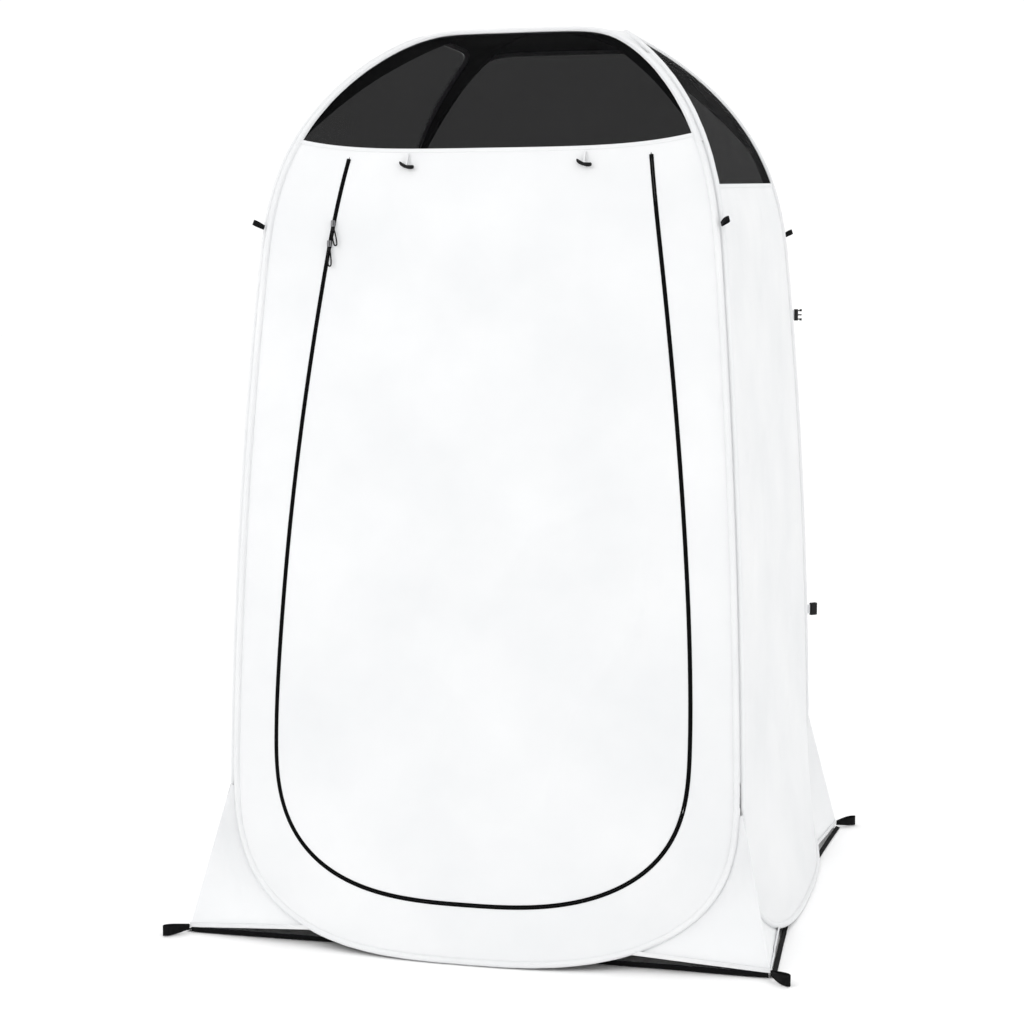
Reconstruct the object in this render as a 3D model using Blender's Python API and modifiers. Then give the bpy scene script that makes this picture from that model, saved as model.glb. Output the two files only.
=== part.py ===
"""Pop-up privacy shower tent: four spring-wire hoops in fabric sleeves, stretched wall panels, a zipped
door flap, mesh windows round the top, corner gussets, ground straps, stake and guy loops, and the buckle
halves of a closure strap.

Frame: +Z up, the door faces -Y, the origin is on the ground at the middle of the footprint. Units are metres.
"""

import math

import bmesh
import bpy
from mathutils import Matrix, Vector

# Driving dimensions.
FOOT_HALF = 0.600  # half the distance between neighbouring stake corners
SEAM_BASE, SEAM_SLOPE, SEAM_BOW = 0.5394, 0.005, -0.0338  # corner seam's half-width, and how it leans in
SHOULDER_Z, APEX_Z = 1.357, 1.9245  # where the shoulder starts to curve in, and where the seams would meet
SHOULDER_IN, SHOULDER_OUT = 2.84, 1.616  # exponents of the shoulder's rounding
ROOF_HALF, ROOF_POWER = 0.199, 6.4  # how near the axis the hoops' tops pass, and how sharply they turn
ROOF_CROWN = 1.876  # height of the roof patch's middle
GUSSET_Z = 0.350  # height at which the hoops start to leave the corner seams
HOOP_FOOT_WIDE = {"front": 3.0, "right": 4.8, "back": 3.0, "left": 4.8}  # exponents of the round feet
HOOP_FOOT_DEEP = {"front": 3.2, "right": 2.4, "back": 3.2, "left": 2.4}
BULGE = {"front": 0.138, "right": 0.072, "back": 0.138, "left": 0.072}  # how far each foot stands out
BULGE_Z, BULGE_POWER = 0.75, 2.6  # height where the bulge has faded, and its shape from side to side

WIRE_R = 0.00225
SLEEVE_R, SLEEVE_BORE = 0.0070, 0.0050
SLEEVE_GAP = 0.0105  # sideways distance from each seam to a hoop's centre-line
FERRULE_R, FERRULE_BORE, FERRULE_LENGTH = 0.0038, 0.0027, 0.040
FABRIC = 0.0016  # modelled thickness of every fabric panel
GAP = 0.0004  # clearance between pieces that meet
SKIN_MIDDLE_Z = 0.95  # height of the middle of each wall's mesh
HOOP_STATIONS = 50
RINGS = 4  # steps from the middle of a panel to its hoop

WINDOW_Z = {"front": 1.620, "right": 1.537, "back": 1.555, "left": 1.537}
WINDOW_SAG = {"front": 0.027, "right": 0.0, "back": 0.027, "left": 0.0}
WINDOW_TILT = {"front": 0.0, "right": 0.049, "back": 0.0, "left": -0.049}  # lower in front
WINDOW_POWER = 4  # shape of the sag: flat in the middle, steep at the ends

DOOR_TOP_Z, DOOR_WIDE_Z, DOOR_FOOT_Z = 1.550, 0.450, 0.110
DOOR_TOP_HALF, DOOR_HALF = 0.311, 0.428
DOOR_TAPER = 1.6
ZIP_TOP_Z = 1.576
DOOR_LEAN, LEAN_POWER = 0.0137, 1.35  # how far the zip's top stands to the right of the middle
FOLD_Z = 0.850  # the door's fold line
FOLD_STAND = 0.0015  # how far the fold's axis stands off the cloth, so that the halves clear each other
TAPE = 0.0044  # width of one zip tape with its teeth
TAPE_GAP = 0.0003  # half the gap between the two rows of teeth

SIDES = ("front", "right", "back", "left")
CORNERS = ("front_right", "back_right", "back_left", "front_left")
AXIS_X, AXIS_Z = Vector((1, 0, 0)), Vector((0, 0, 1))

WHITE, BLACK, MESH = (0.86, 0.87, 0.88, 1), (0.012, 0.012, 0.013, 1), (0.02, 0.02, 0.022, 1)
STEEL, PLASTIC = (0.55, 0.56, 0.58, 1), (0.01, 0.01, 0.01, 1)


def turn(index):
    """The rotation that carries the front side, or the front right corner, to another."""
    return Matrix.Rotation(index * math.pi / 2, 4, "Z")


# The tent's surface.


def seam_half(z):
    """Half the outside width between corner seams at this height."""
    t = min(max((z - SHOULDER_Z) / (APEX_Z - SHOULDER_Z), 0), 1)
    shoulder = (1 - t**SHOULDER_IN) ** (1 / SHOULDER_OUT)
    return (SEAM_BASE + SEAM_SLOPE * z + SEAM_BOW * z * z) * shoulder


def wall_half(z):
    """Distance from the axis to the middle of the fabric, where no bulge adds to it."""
    return seam_half(z) - SLEEVE_R


def foot_half():
    """Half the hoop's width where its round foot starts."""
    return wall_half(GUSSET_Z) - SLEEVE_GAP


def depth(x, z, bulge):
    """Distance from the axis to the wall at x across and z up."""
    across = 1 - min(abs(x) / foot_half(), 1) ** BULGE_POWER
    return wall_half(z) + bulge * max(1 - z / BULGE_Z, 0) ** 2 * across


def on_wall(x, z, bulge, out=0.0):
    """A point of the front wall, moved out along the wall's normal."""
    step = 0.002
    slope_x = (depth(x + step, z, bulge) - depth(x - step, z, bulge)) / (2 * step)
    slope_z = (depth(x, z + step, bulge) - depth(x, z - step, bulge)) / (2 * step)
    normal = Vector((-slope_x, -1, -slope_z)).normalized()
    return Vector((x, -depth(x, z, bulge), z)) + out * normal, normal


def arch_top():
    """The height of a hoop's highest point."""
    low, high = SHOULDER_Z, APEX_Z
    for _ in range(50):
        middle = (low + high) / 2
        if wall_half(middle) - SLEEVE_GAP > ROOF_HALF:
            low = middle
        else:
            high = middle
    return low


def resample(points, count, closed=True):
    """The same path with evenly spaced points; on a closed one they sit half a step off its start."""
    path = points + points[:1] if closed else points
    lengths = [0.0]
    for a, b in zip(path, path[1:]):
        lengths.append(lengths[-1] + (b - a).length)
    steps = [(i + 0.5) / count for i in range(count)] if closed else [i / (count - 1) for i in range(count)]
    found, k = [], 0
    for step in steps:
        target = step * lengths[-1]
        while k < len(path) - 2 and lengths[k + 1] < target:
            k += 1
        share = (target - lengths[k]) / (lengths[k + 1] - lengths[k])
        found.append(path[k].lerp(path[k + 1], share))
    return found


def hoop_path(side):
    """The front-facing centre-line of a side's hoop, counter-clockwise seen from outside, from its foot."""
    bulge, top = BULGE[side], arch_top()
    half = []
    for i in range(121):  # the round foot, from the middle of the ground line to the seam
        angle = math.pi / 2 * i / 120
        x = foot_half() * math.sin(angle) ** (2 / HOOP_FOOT_WIDE[side])
        z = SLEEVE_R + (GUSSET_Z - SLEEVE_R) * (1 - math.cos(angle) ** (2 / HOOP_FOOT_DEEP[side]))
        half.append(Vector((x, -depth(x, z, bulge), z)))
    for i in range(1, 301):  # up the seam and over to the middle of the arch
        z = top - (top - GUSSET_Z) * (1 - i / 300) ** 2
        wide = max((wall_half(z) - SLEEVE_GAP) ** ROOF_POWER - ROOF_HALF**ROOF_POWER, 0)
        half.append(Vector((wide ** (1 / ROOF_POWER), -wall_half(z), z)))
    return half + [Vector((-p.x, p.y, p.z)) for p in reversed(half[1:-1])]


def stations(side):
    """Evenly spaced (centre, outward normal, inward direction in the wall) triples along a hoop."""
    points = resample(hoop_path(side), HOOP_STATIONS)
    found = []
    for i, point in enumerate(points):
        along = (points[(i + 1) % HOOP_STATIONS] - points[i - 1]).normalized()
        _, normal = on_wall(point.x, point.z, BULGE[side])
        normal = (normal - along * normal.dot(along)).normalized()
        found.append((point, normal, normal.cross(along).normalized()))
    return found


# Blender helpers.


def clear_scene():
    for obj in list(bpy.data.objects):
        bpy.data.objects.remove(obj)


def make_collection(name):
    collection = bpy.data.collections.new(name)
    bpy.context.scene.collection.children.link(collection)
    return collection


def material(name, color, roughness, metallic=0.0):
    made = bpy.data.materials.get(name)
    if made is None:
        made = bpy.data.materials.new(name)
        made.use_nodes = True
        shader = made.node_tree.nodes["Principled BSDF"]
        shader.inputs["Base Color"].default_value = color
        shader.inputs["Roughness"].default_value = roughness
        shader.inputs["Metallic"].default_value = metallic
    return made


def place(name, mesh, finish, matrix=None, pivot=None):
    """Puts a mesh in the tent's collection; a moving piece has its object's origin on its joint's axis."""
    if matrix is not None:
        mesh.transform(matrix)
    if pivot is not None:
        mesh.transform(Matrix.Translation(-Vector(pivot)))
    mesh.shade_smooth()
    mesh.set_sharp_from_angle(angle=math.radians(35))
    mesh.materials.append(finish)
    obj = bpy.data.objects.new(name, mesh)
    obj.location = pivot or (0, 0, 0)
    TENT.objects.link(obj)
    return obj


def mesh_from(name, points, faces):
    mesh = bpy.data.meshes.new(name)
    mesh.from_pydata([tuple(p) for p in points], [], faces)
    work = bmesh.new()
    work.from_mesh(mesh)
    bmesh.ops.recalc_face_normals(work, faces=work.faces)
    work.to_mesh(mesh)
    work.free()
    return mesh


def loft(name, sections, closed):
    """Joins equal rings of points, each a closed outline; an open loft gets a cap at each end."""
    count, size = len(sections), len(sections[0])
    points = [p for section in sections for p in section]
    faces = []
    for i in range(count if closed else count - 1):
        a, b = i * size, (i + 1) % count * size
        faces += [(a + j, a + (j + 1) % size, b + (j + 1) % size, b + j) for j in range(size)]
    if not closed:
        faces += [tuple(range(size)), tuple(range((count - 1) * size, count * size))]
    return mesh_from(name, points, faces)


def sheet(name, rows, finish, matrix):
    """An open grid of points made into a panel by Solidify."""
    width = len(rows[0])
    faces = []
    for i in range(len(rows) - 1):
        for a in range(i * width, (i + 1) * width - 1):
            faces.append((a, a + 1, a + 1 + width, a + width))
    mesh = mesh_from(name, [p for row in rows for p in row], faces)
    add_thickness(place(name, mesh, finish, matrix), FABRIC)


def add_thickness(obj, thickness):
    solidify = obj.modifiers.new("thickness", "SOLIDIFY")
    solidify.thickness, solidify.offset, solidify.use_even_offset = thickness, 0, True


def band(name, path, widths, thickness, across, closed=False):
    """A flat strip swept along a path; across(i) is the direction of its width at point i."""
    sections, count = [], len(path)
    for i, point in enumerate(path):
        before = path[i - 1] if closed or i else point
        after = path[(i + 1) % count] if closed or i < count - 1 else point
        along = (after - before).normalized()
        wide = across(i)
        wide = (wide - along * wide.dot(along)).normalized() * widths[i] / 2
        thick = along.cross(wide).normalized() * thickness / 2
        corners = (wide + thick, thick - wide, -wide - thick, wide - thick)
        sections.append([point + corner for corner in corners])
    return loft(name, sections, closed)


def block(name, size, center, bevel=0.0):
    """A box with rounded edges, as a mesh."""
    work = bmesh.new()
    bmesh.ops.create_cube(work, size=1)
    matrix = Matrix.Translation(center) @ Matrix.Diagonal((*size, 1))
    bmesh.ops.transform(work, verts=work.verts, matrix=matrix)
    if bevel:
        bmesh.ops.bevel(work, geom=work.edges, offset=bevel, segments=2, profile=0.5, affect="EDGES")
    mesh = bpy.data.meshes.new(name)
    work.to_mesh(mesh)
    work.free()
    return mesh


def union(obj, meshes):
    """Joins more meshes, given in the object's own frame, to it with Boolean unions."""
    for index, mesh in enumerate(meshes):
        helper = bpy.data.objects.new(f"{obj.name}_add_{index}", mesh)
        helper.location = obj.location
        HELPERS.objects.link(helper)
        helper.hide_render, helper.display_type = True, "WIRE"
        join = obj.modifiers.new(f"join_{index}", "BOOLEAN")
        join.operation, join.object = "UNION", helper


# Hoops and their sleeves.


def hoop_parts(index, side):
    ring = stations(side)
    wire = bpy.data.curves.new(f"hoop_{side}", "CURVE")
    wire.dimensions, wire.bevel_depth, wire.bevel_resolution = "3D", WIRE_R, 0
    line = wire.splines.new("POLY")
    line.points.add(len(ring) - 1)
    for target, (center, _, _) in zip(line.points, ring):
        target.co = (*(turn(index) @ center), 1)
    line.use_cyclic_u = True
    wire.materials.append(material("spring_steel", STEEL, 0.3, 1.0))
    TENT.objects.link(bpy.data.objects.new(f"hoop_{side}", wire))

    angles = [math.radians(a) for a in (-95, -32, 32, 95)]
    outline = [(SLEEVE_R, a) for a in angles] + [(SLEEVE_BORE, a) for a in reversed(angles)]
    sections = [
        [center + r * (math.cos(a) * normal + math.sin(a) * inward) for r, a in outline]
        for center, normal, inward in ring
    ]
    place(f"sleeve_{side}", loft(f"sleeve_{side}", sections, True), white(), turn(index))

    first, last = ring[0][0], ring[-1][0]
    middle, along = (first + last) / 2, (first - last).normalized()
    upright = along.cross(Vector((0, -1, 0))).normalized()
    flat = upright.cross(along).normalized()
    rings = []
    for step, radius in ((-1, FERRULE_BORE), (-1, FERRULE_R), (1, FERRULE_R), (1, FERRULE_BORE)):
        end = middle + along * step * FERRULE_LENGTH / 2
        around = [2 * math.pi * k / 12 for k in range(12)]
        rings.append([end + radius * (math.cos(a) * flat + math.sin(a) * upright) for a in around])
    ferrule = loft(f"ferrule_{side}", rings, True)
    place(f"ferrule_{side}", ferrule, material("ferrule_steel", STEEL, 0.4, 1.0), turn(index))


def white():
    return material("polyester_white", WHITE, 0.8)


def black_web():
    return material("webbing_black", BLACK, 0.75)


# Wall panels: one curved skin a side, cut to each panel's outline.


def skin(name, index, side, finish, pivot=None):
    bulge, middle = BULGE[side], Vector((0, 0, SKIN_MIDDLE_Z))
    edge = [center + inward * (SLEEVE_R + GAP) for center, _, inward in stations(side)]
    points = [on_wall(0, middle.z, bulge)[0]]
    for ring in range(1, RINGS):
        share = math.sin(math.pi / 2 * ring / RINGS)
        for rim in edge:
            x, z = share * rim.x, middle.z + share * (rim.z - middle.z)
            points.append(on_wall(x, z, bulge)[0])
    points += edge
    count = HOOP_STATIONS
    faces = [(0, 1 + k, 1 + (k + 1) % count) for k in range(count)]
    for ring in range(RINGS - 1):
        a, b = 1 + ring * count, 1 + (ring + 1) * count
        faces += [(a + k, b + k, b + (k + 1) % count, a + (k + 1) % count) for k in range(count)]
    obj = place(name, mesh_from(name, points, faces), finish, turn(index), pivot)
    add_thickness(obj, FABRIC)
    return obj


CUTTER_NEAR, CUTTER_LONG = -1.2, 1.15  # a cutter starts outside the front wall and ends short of the axis


PAST_SIDE, PAST_TOP, PAST_FOOT = 0.7, 2.0, -0.1  # how far the cutters reach past the tent


def prism(name, outline, index=0):
    """A cutter: an outline given as (x, z) on the front side, drawn through that side's wall."""
    work = bmesh.new()
    near = [work.verts.new((x, CUTTER_NEAR, z)) for x, z in outline]
    face = work.faces.new(near)
    moved = bmesh.ops.extrude_face_region(work, geom=[face])["geom"]
    far = [v for v in moved if isinstance(v, bmesh.types.BMVert)]
    bmesh.ops.translate(work, verts=far, vec=(0, CUTTER_LONG, 0))
    bmesh.ops.recalc_face_normals(work, faces=work.faces)
    mesh = bpy.data.meshes.new(name)
    work.to_mesh(mesh)
    work.free()
    mesh.transform(turn(index))
    obj = bpy.data.objects.new(name, mesh)
    obj.hide_render, obj.display_type = True, "WIRE"
    HELPERS.objects.link(obj)
    return obj


def cut(obj, keep=(), remove=()):
    for operation, cutters in (("INTERSECT", keep), ("DIFFERENCE", remove)):
        for cutter in cutters:
            made = obj.modifiers.new(f"{operation.lower()}_{cutter.name}", "BOOLEAN")
            made.operation, made.object, made.solver = operation, cutter, "MANIFOLD"
    return obj


def window_line(side, shift):
    """The sagging lower edge of a side's window, as (x, z) points from left to right."""
    wide = wall_half(WINDOW_Z[side])
    middle, tilt, sag = WINDOW_Z[side] + shift, WINDOW_TILT[side], WINDOW_SAG[side]
    xs = [wide * k / 5 for k in range(-5, 6)]
    line = [(x, middle + tilt * x - sag * (1 - (x / wide) ** WINDOW_POWER)) for x in xs]
    return [(-PAST_SIDE, line[0][1])] + line + [(PAST_SIDE, line[-1][1])]


def window_and_wall(index, side):
    upper = window_line(side, GAP)
    above = prism(f"above_{side}", [(-PAST_SIDE, PAST_TOP)] + upper + [(PAST_SIDE, PAST_TOP)], index)
    cut(skin(f"window_{side}", index, side, material("mesh_black", MESH, 0.6)), keep=[above])
    lower = window_line(side, -GAP)
    below = prism(f"below_{side}", [(-PAST_SIDE, PAST_FOOT)] + lower + [(PAST_SIDE, PAST_FOOT)], index)
    if side != "front":
        cut(skin(f"wall_{side}", index, side, white()), keep=[below])
    return below


# The door: a flap inside a U-shaped zip, with a hinge line under its top edge and one fold line.


def door_half(z):
    """Half the width between the zip's two runs at this height."""
    if z >= DOOR_WIDE_Z:
        rise = (z - DOOR_WIDE_Z) / (ZIP_TOP_Z - DOOR_WIDE_Z)
        return DOOR_HALF - (DOOR_HALF - DOOR_TOP_HALF) * rise**DOOR_TAPER
    drop = (DOOR_WIDE_Z - z) / (DOOR_WIDE_Z - DOOR_FOOT_Z)
    return DOOR_HALF * max(1 - drop**3.2, 0) ** (1 / 2.8)


def door_lean(z):
    """How far the zip's outline stands to the right at this height."""
    return DOOR_LEAN * (max(z - DOOR_WIDE_Z, 0) / (ZIP_TOP_Z - DOOR_WIDE_Z)) ** LEAN_POWER


def door_prism(name, outline):
    return prism(name, [(x + door_lean(z), z) for x, z in outline])


RUN_STEPS = 160
RUN_THIN = 5  # every fifth point is kept
RUN_ABOVE = 0.020  # how far the run goes on above the zip's top, for the cutters


def zip_run(offset):
    """The right-hand run of the zip, top first, moved outwards by offset."""
    tall = ZIP_TOP_Z + RUN_ABOVE - DOOR_FOOT_Z
    heights = [DOOR_FOOT_Z + tall * (1 - math.cos(math.pi / 2 * k / RUN_STEPS)) for k in range(RUN_STEPS + 1)]
    line = [Vector((door_half(z), z)) for z in reversed(heights)]
    moved = []
    for k, point in enumerate(line):
        before, after = line[max(k - 1, 0)], line[min(k + 1, len(line) - 1)]
        along = (after - before).normalized()
        if k == len(line) - 1:
            along = Vector((-1, 0))
        moved.append(point + offset * Vector((-along.y, along.x)))
    return [p for p in moved if p.x > 0][::RUN_THIN]


def at_height(run, z):
    """The half width of a run where it crosses a height."""
    for a, b in zip(run, run[1:]):
        if (a.y - z) * (b.y - z) <= 0:
            share = (a.y - z) / (a.y - b.y)
            return a.x + share * (b.x - a.x)
    return run[0].x + (run[0].x - run[1].x) / (run[0].y - run[1].y) * (z - run[0].y)


def door_outline(offset, low, high):
    """The zip's outline moved outwards by offset, clipped between two heights, as (x, z) points."""
    full = zip_run(offset)
    right = [(at_height(full, high), high)] + [(p.x, p.y) for p in full if low < p.y < high]
    if low > DOOR_FOOT_Z:
        right.append((at_height(full, low), low))
    return right + [(-x, z) for x, z in reversed(right) if x > 1e-6]


def tape_outline(way, low, high):
    """One run of the door's own zip tape between two heights; way is 1 on the right and -1 on the left."""
    outer, inner = zip_run(-TAPE_GAP), zip_run(-TAPE)
    down = [(at_height(outer, high), high)] + [(p.x, p.y) for p in outer if low < p.y < high]
    up = [(at_height(inner, high), high)] + [(p.x, p.y) for p in inner if low < p.y < high]
    down.append((at_height(outer, low), low))
    up.append((at_height(inner, low), low))
    return [(way * x, z) for x, z in down + up[::-1]]


def door_parts(below_window):
    hinge_low, hinge_high = DOOR_TOP_Z - GAP, DOOR_TOP_Z + GAP
    fold_low, fold_high = FOLD_Z - GAP, FOLD_Z + GAP
    swing = on_wall(0, DOOR_TOP_Z, 0, FABRIC / 2)[0]
    fold = on_wall(0, FOLD_Z, 0, FABRIC / 2 + FOLD_STAND)[0]
    outer, inner = zip_run(TAPE + GAP), zip_run(-TAPE - GAP)
    ear_top = ZIP_TOP_Z + GAP
    ear = [(at_height(inner, z), z) for z in (hinge_high, ear_top)]
    other_ear = [(-x, z) for x, z in reversed(ear)]
    hole = door_prism("door_hole", ear + door_outline(TAPE + GAP, -1, ear_top) + other_ear)
    cut(skin("front_surround", 0, "front", white()), keep=[below_window], remove=[hole])
    for name, way in (("left", -1), ("right", 1)):
        corners = [(run, z) for z in (hinge_high + GAP, ZIP_TOP_Z) for run in (-TAPE, TAPE)]
        points = [(way * at_height(zip_run(offset), z), z) for offset, z in corners]
        keep = door_prism(f"zip_end_outline_{name}", [points[0], points[1], points[3], points[2]])
        cut(skin(f"zip_end_{name}", 0, "front", black_web()), keep=[keep])

    outer = door_prism("tape_outer", door_outline(TAPE, -1, hinge_low))
    inner = door_prism("tape_inner", door_outline(TAPE_GAP, -1, ZIP_TOP_Z + 0.01))
    cut(skin("zip_tape_frame", 0, "front", black_web()), keep=[outer], remove=[inner])

    upper = door_prism("door_upper_outline", door_outline(-TAPE - GAP, fold_high, hinge_low))
    cut(skin("door_upper", 0, "front", white(), swing), keep=[upper])
    lower = door_prism("door_lower_outline", door_outline(-TAPE - GAP, -1, fold_low))
    cut(skin("door_lower", 0, "front", white(), fold), keep=[lower])

    tape_in = door_prism("door_tape_inner", door_outline(-TAPE, -1, ZIP_TOP_Z + 0.01))
    low_tape = door_prism("low_tape", door_outline(-TAPE_GAP, -1, fold_low))
    cut(skin("zip_tape_door_lower", 0, "front", black_web(), fold), keep=[low_tape], remove=[tape_in])
    for name, way in (("left", -1), ("right", 1)):
        keep = door_prism(f"upper_tape_{name}", tape_outline(way, fold_high, hinge_low))
        cut(skin(f"zip_tape_door_{name}", 0, "front", black_web(), swing), keep=[keep])


# Zip sliders and their pulls, parked high on the left run.

SLIDERS = (("upper", 1.448, 30), ("lower", 1.408, 7))  # name, height and how far its pull hangs off plumb
SLIDER_SIZE = (0.0090, 0.0036, 0.0130)
SLIDER_LIFT = 0.0016  # clearance between a slider and the teeth
PULL_LENGTH, PULL_WIDE, PULL_THICK = 0.036, 0.0070, 0.0016


def wall_frame(x, z, lift):
    """A frame on the front wall: X across, Z up along the wall, -Y outwards, its origin off the fabric."""
    point, normal = on_wall(x, z, 0, FABRIC / 2 + lift)
    across = AXIS_Z.cross(normal).normalized()
    up = normal.cross(across).normalized()
    return Matrix.Translation(point) @ Matrix((across, -normal, up)).transposed().to_4x4()


def slider_parts():
    for name, z, lean in SLIDERS:
        frame = wall_frame(door_lean(z) - door_half(z), z, SLIDER_LIFT)
        wide, thick, tall = SLIDER_SIZE
        body = block(f"zip_slider_{name}", SLIDER_SIZE, (0, -thick / 2, 0), 0.0010)
        bail = [
            block("bail_foot", (0.0024, 0.0022, 0.0018), (0, -thick - 0.0006, 0.0042)),
            block("bail_top", (0.0020, 0.0010, 0.0090), (0, -thick - 0.0019, 0.0008)),
        ]
        pivot = frame.translation.copy()
        turned = frame.to_3x3().to_4x4()
        obj = place(f"zip_slider_{name}", body, material("slider_metal", (0.05, 0.05, 0.055, 1), 0.35, 0.8))
        obj.data.transform(turned)
        obj.location = pivot
        for mesh in bail:
            mesh.transform(turned)
        union(obj, bail)

        hinge = frame @ Matrix.Translation((0, -thick - 0.0014, -SLIDER_SIZE[2] / 2 - 0.0012))
        swing = Matrix.Rotation(math.radians(lean), 4, "Y")
        size, center = (PULL_WIDE, PULL_THICK, PULL_LENGTH), (0, 0, -PULL_LENGTH / 2 - 0.0010)
        pull = block(f"zip_pull_{name}", size, center, 0.0006)
        pull.transform(hinge.to_3x3().to_4x4() @ swing)
        obj = place(f"zip_pull_{name}", pull, material("pull_cord", BLACK, 0.6))
        obj.location = hinge.translation


# Toggles that tie the rolled door up, on short loops under the front window.

TOGGLE_X, TOGGLE_Z, TOGGLE_LOOP_TOP = (-0.1715, 0.1925), 1.559, 1.586
TOGGLE_LENGTH, TOGGLE_R, LOOP_WIDE, LOOP_THICK = 0.034, 0.0036, 0.0042, 0.0010
TOGGLE_BEND, TOGGLE_TILT = 0.0046, math.radians(18)  # how far a toggle's ends curve up, and how it hangs
LOOP_ROOM = 0.0016  # from the toggle's surface to the middle of its loop
LOOP_LIFT, TOGGLE_LIFT = 0.0016, 0.0075  # how far the loop's top and the toggle's middle stand off the fabric


def toggle_parts():
    for name, x in zip(("left", "right"), TOGGLE_X):
        top = on_wall(x, TOGGLE_LOOP_TOP, 0, FABRIC / 2 + LOOP_LIFT)[0]
        bar = on_wall(x, TOGGLE_Z, 0, FABRIC / 2 + TOGGLE_LIFT)[0]
        bore = TOGGLE_R + LOOP_ROOM
        path = [top]
        down = (bar - top).normalized()
        out = down.cross(AXIS_X).normalized()
        if out.y > 0:
            out = -out
        for k in range(-2, 11):
            angle = math.pi * k / 8
            path.append(bar - out * bore * math.cos(angle) + down * bore * math.sin(angle))
        path.append(top + out * 0.0036)
        loop = band(f"toggle_loop_{name}", path, [LOOP_WIDE] * len(path), LOOP_THICK, lambda i: AXIS_X)
        place(f"toggle_loop_{name}", loop, white(), None, top)

        sections, across = [], AXIS_X * math.cos(TOGGLE_TILT) + down * math.sin(TOGGLE_TILT)
        for k in range(9):
            share = k / 4 - 1
            radius = TOGGLE_R * (0.62 if abs(share) == 1 else 1.0)
            center = bar + across * share * TOGGLE_LENGTH / 2 - down * TOGGLE_BEND * share * share
            turns = [2 * math.pi * j / 10 for j in range(10)]
            sections.append([center + radius * (math.cos(a) * out + math.sin(a) * down) for a in turns])
        toggle = loft(f"toggle_{name}", sections, False)
        place(f"toggle_{name}", toggle, material("toggle_plastic", PLASTIC, 0.35), None, top)


# The roof patch between the four arches.


ROOF_MARGIN, ROOF_CORNER = 0.0030, 0.0160  # clearance to the sleeves, and to the corner seams
ROOF_LOW_Z = 1.600  # below every point of the roof's rim
ROOF_RINGS = 4


def roof_patch():
    front = [center - inward * (SLEEVE_R + ROOF_MARGIN) for center, _, inward in stations("front")]
    front = [p for p in front if abs(p.x) < -p.y - ROOF_CORNER and p.z > ROOF_LOW_Z]
    front.sort(key=lambda p: p.x)
    rim = [turn(index) @ p for index in range(4) for p in front]
    count = len(rim)
    points = [Vector((0, 0, ROOF_CROWN))]
    for ring in range(1, ROOF_RINGS + 1):
        share = ring / ROOF_RINGS
        for p in rim:
            points.append(Vector((share * p.x, share * p.y, ROOF_CROWN - (ROOF_CROWN - p.z) * share**2)))
    faces = [(0, 1 + k, 1 + (k + 1) % count) for k in range(count)]
    for ring in range(ROOF_RINGS - 1):
        a, b = 1 + ring * count, 1 + (ring + 1) * count
        faces += [(a + k, b + k, b + (k + 1) % count, a + (k + 1) % count) for k in range(count)]
    obj = place("roof_patch", mesh_from("roof_patch", points, faces), white())
    add_thickness(obj, FABRIC)


# Corner gussets, ground straps and stake loops.

STRAP_WIDE, STRAP_THICK = 0.013, 0.0012
STRAP_STEPS = 16
STRAP_BOW = {"front": 0.004, "right": 0.032, "back": 0.004, "left": 0.032}  # how far its middle bows in
STRAP_LIFT = 0.0003  # height off the ground
GUSSET_TOP, GUSSET_REACH = 0.285, 0.340  # a gusset's top, and where its foot meets the hoop
GUSSET_HEM = 0.0160  # height of a gusset's lower edge, over the strap
GUSSET_MARGIN = 0.0035  # clearance between a gusset's edge and the sleeve it is sewn to
GUSSET_OUT = 0.0030  # how far outside the walls a gusset's top point stands
EDGE_SPARE = 0.06  # how far past its ends a gusset's edge is traced before it is cut to length


def foot_edge(side, steps):
    """Points down the left lower run of a side's hoop, on the sleeve's outer side, from the gusset's top."""
    ring = [c - inward * (SLEEVE_R + GUSSET_MARGIN) for c, _, inward in stations(side)]
    low, left = GUSSET_Z + EDGE_SPARE, -GUSSET_REACH + EDGE_SPARE
    run = sorted((p for p in ring if p.x < min(left, 0) and p.z < low), key=lambda p: -p.z)
    dense = resample(run, 60, closed=False)
    dense = [p for p in dense if p.z <= GUSSET_TOP and p.x <= -GUSSET_REACH]
    return resample(dense, steps, closed=False)


def gusset(index, corner):
    """The front-left pattern turned to its corner; the left hoop's edge is the mirror of its right foot."""
    sides = {"front_left": ("front", "left"), "front_right": ("right", "front"),
             "back_right": ("back", "right"), "back_left": ("left", "back")}[corner]
    steps = 12
    one = foot_edge(sides[0], steps)
    other = [turn(3) @ Vector((-p.x, p.y, p.z)) for p in foot_edge(sides[1], steps)]
    top = wall_half(GUSSET_TOP) + GUSSET_OUT
    rows = []
    for k in range(steps):
        share = k / (steps - 1)
        z = GUSSET_TOP + (GUSSET_HEM - GUSSET_TOP) * share
        out = top + (FOOT_HALF - top) * share
        ridge = Vector((-out, -out, z))
        row = [one[k].lerp(ridge, t) for t in (0, 1 / 3, 2 / 3)] + [ridge]
        row += [ridge.lerp(other[k], t) for t in (1 / 3, 2 / 3, 1)]
        rows.append(row)
    sheet(f"gusset_{corner}", rows, white(), turn(index))


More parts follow.
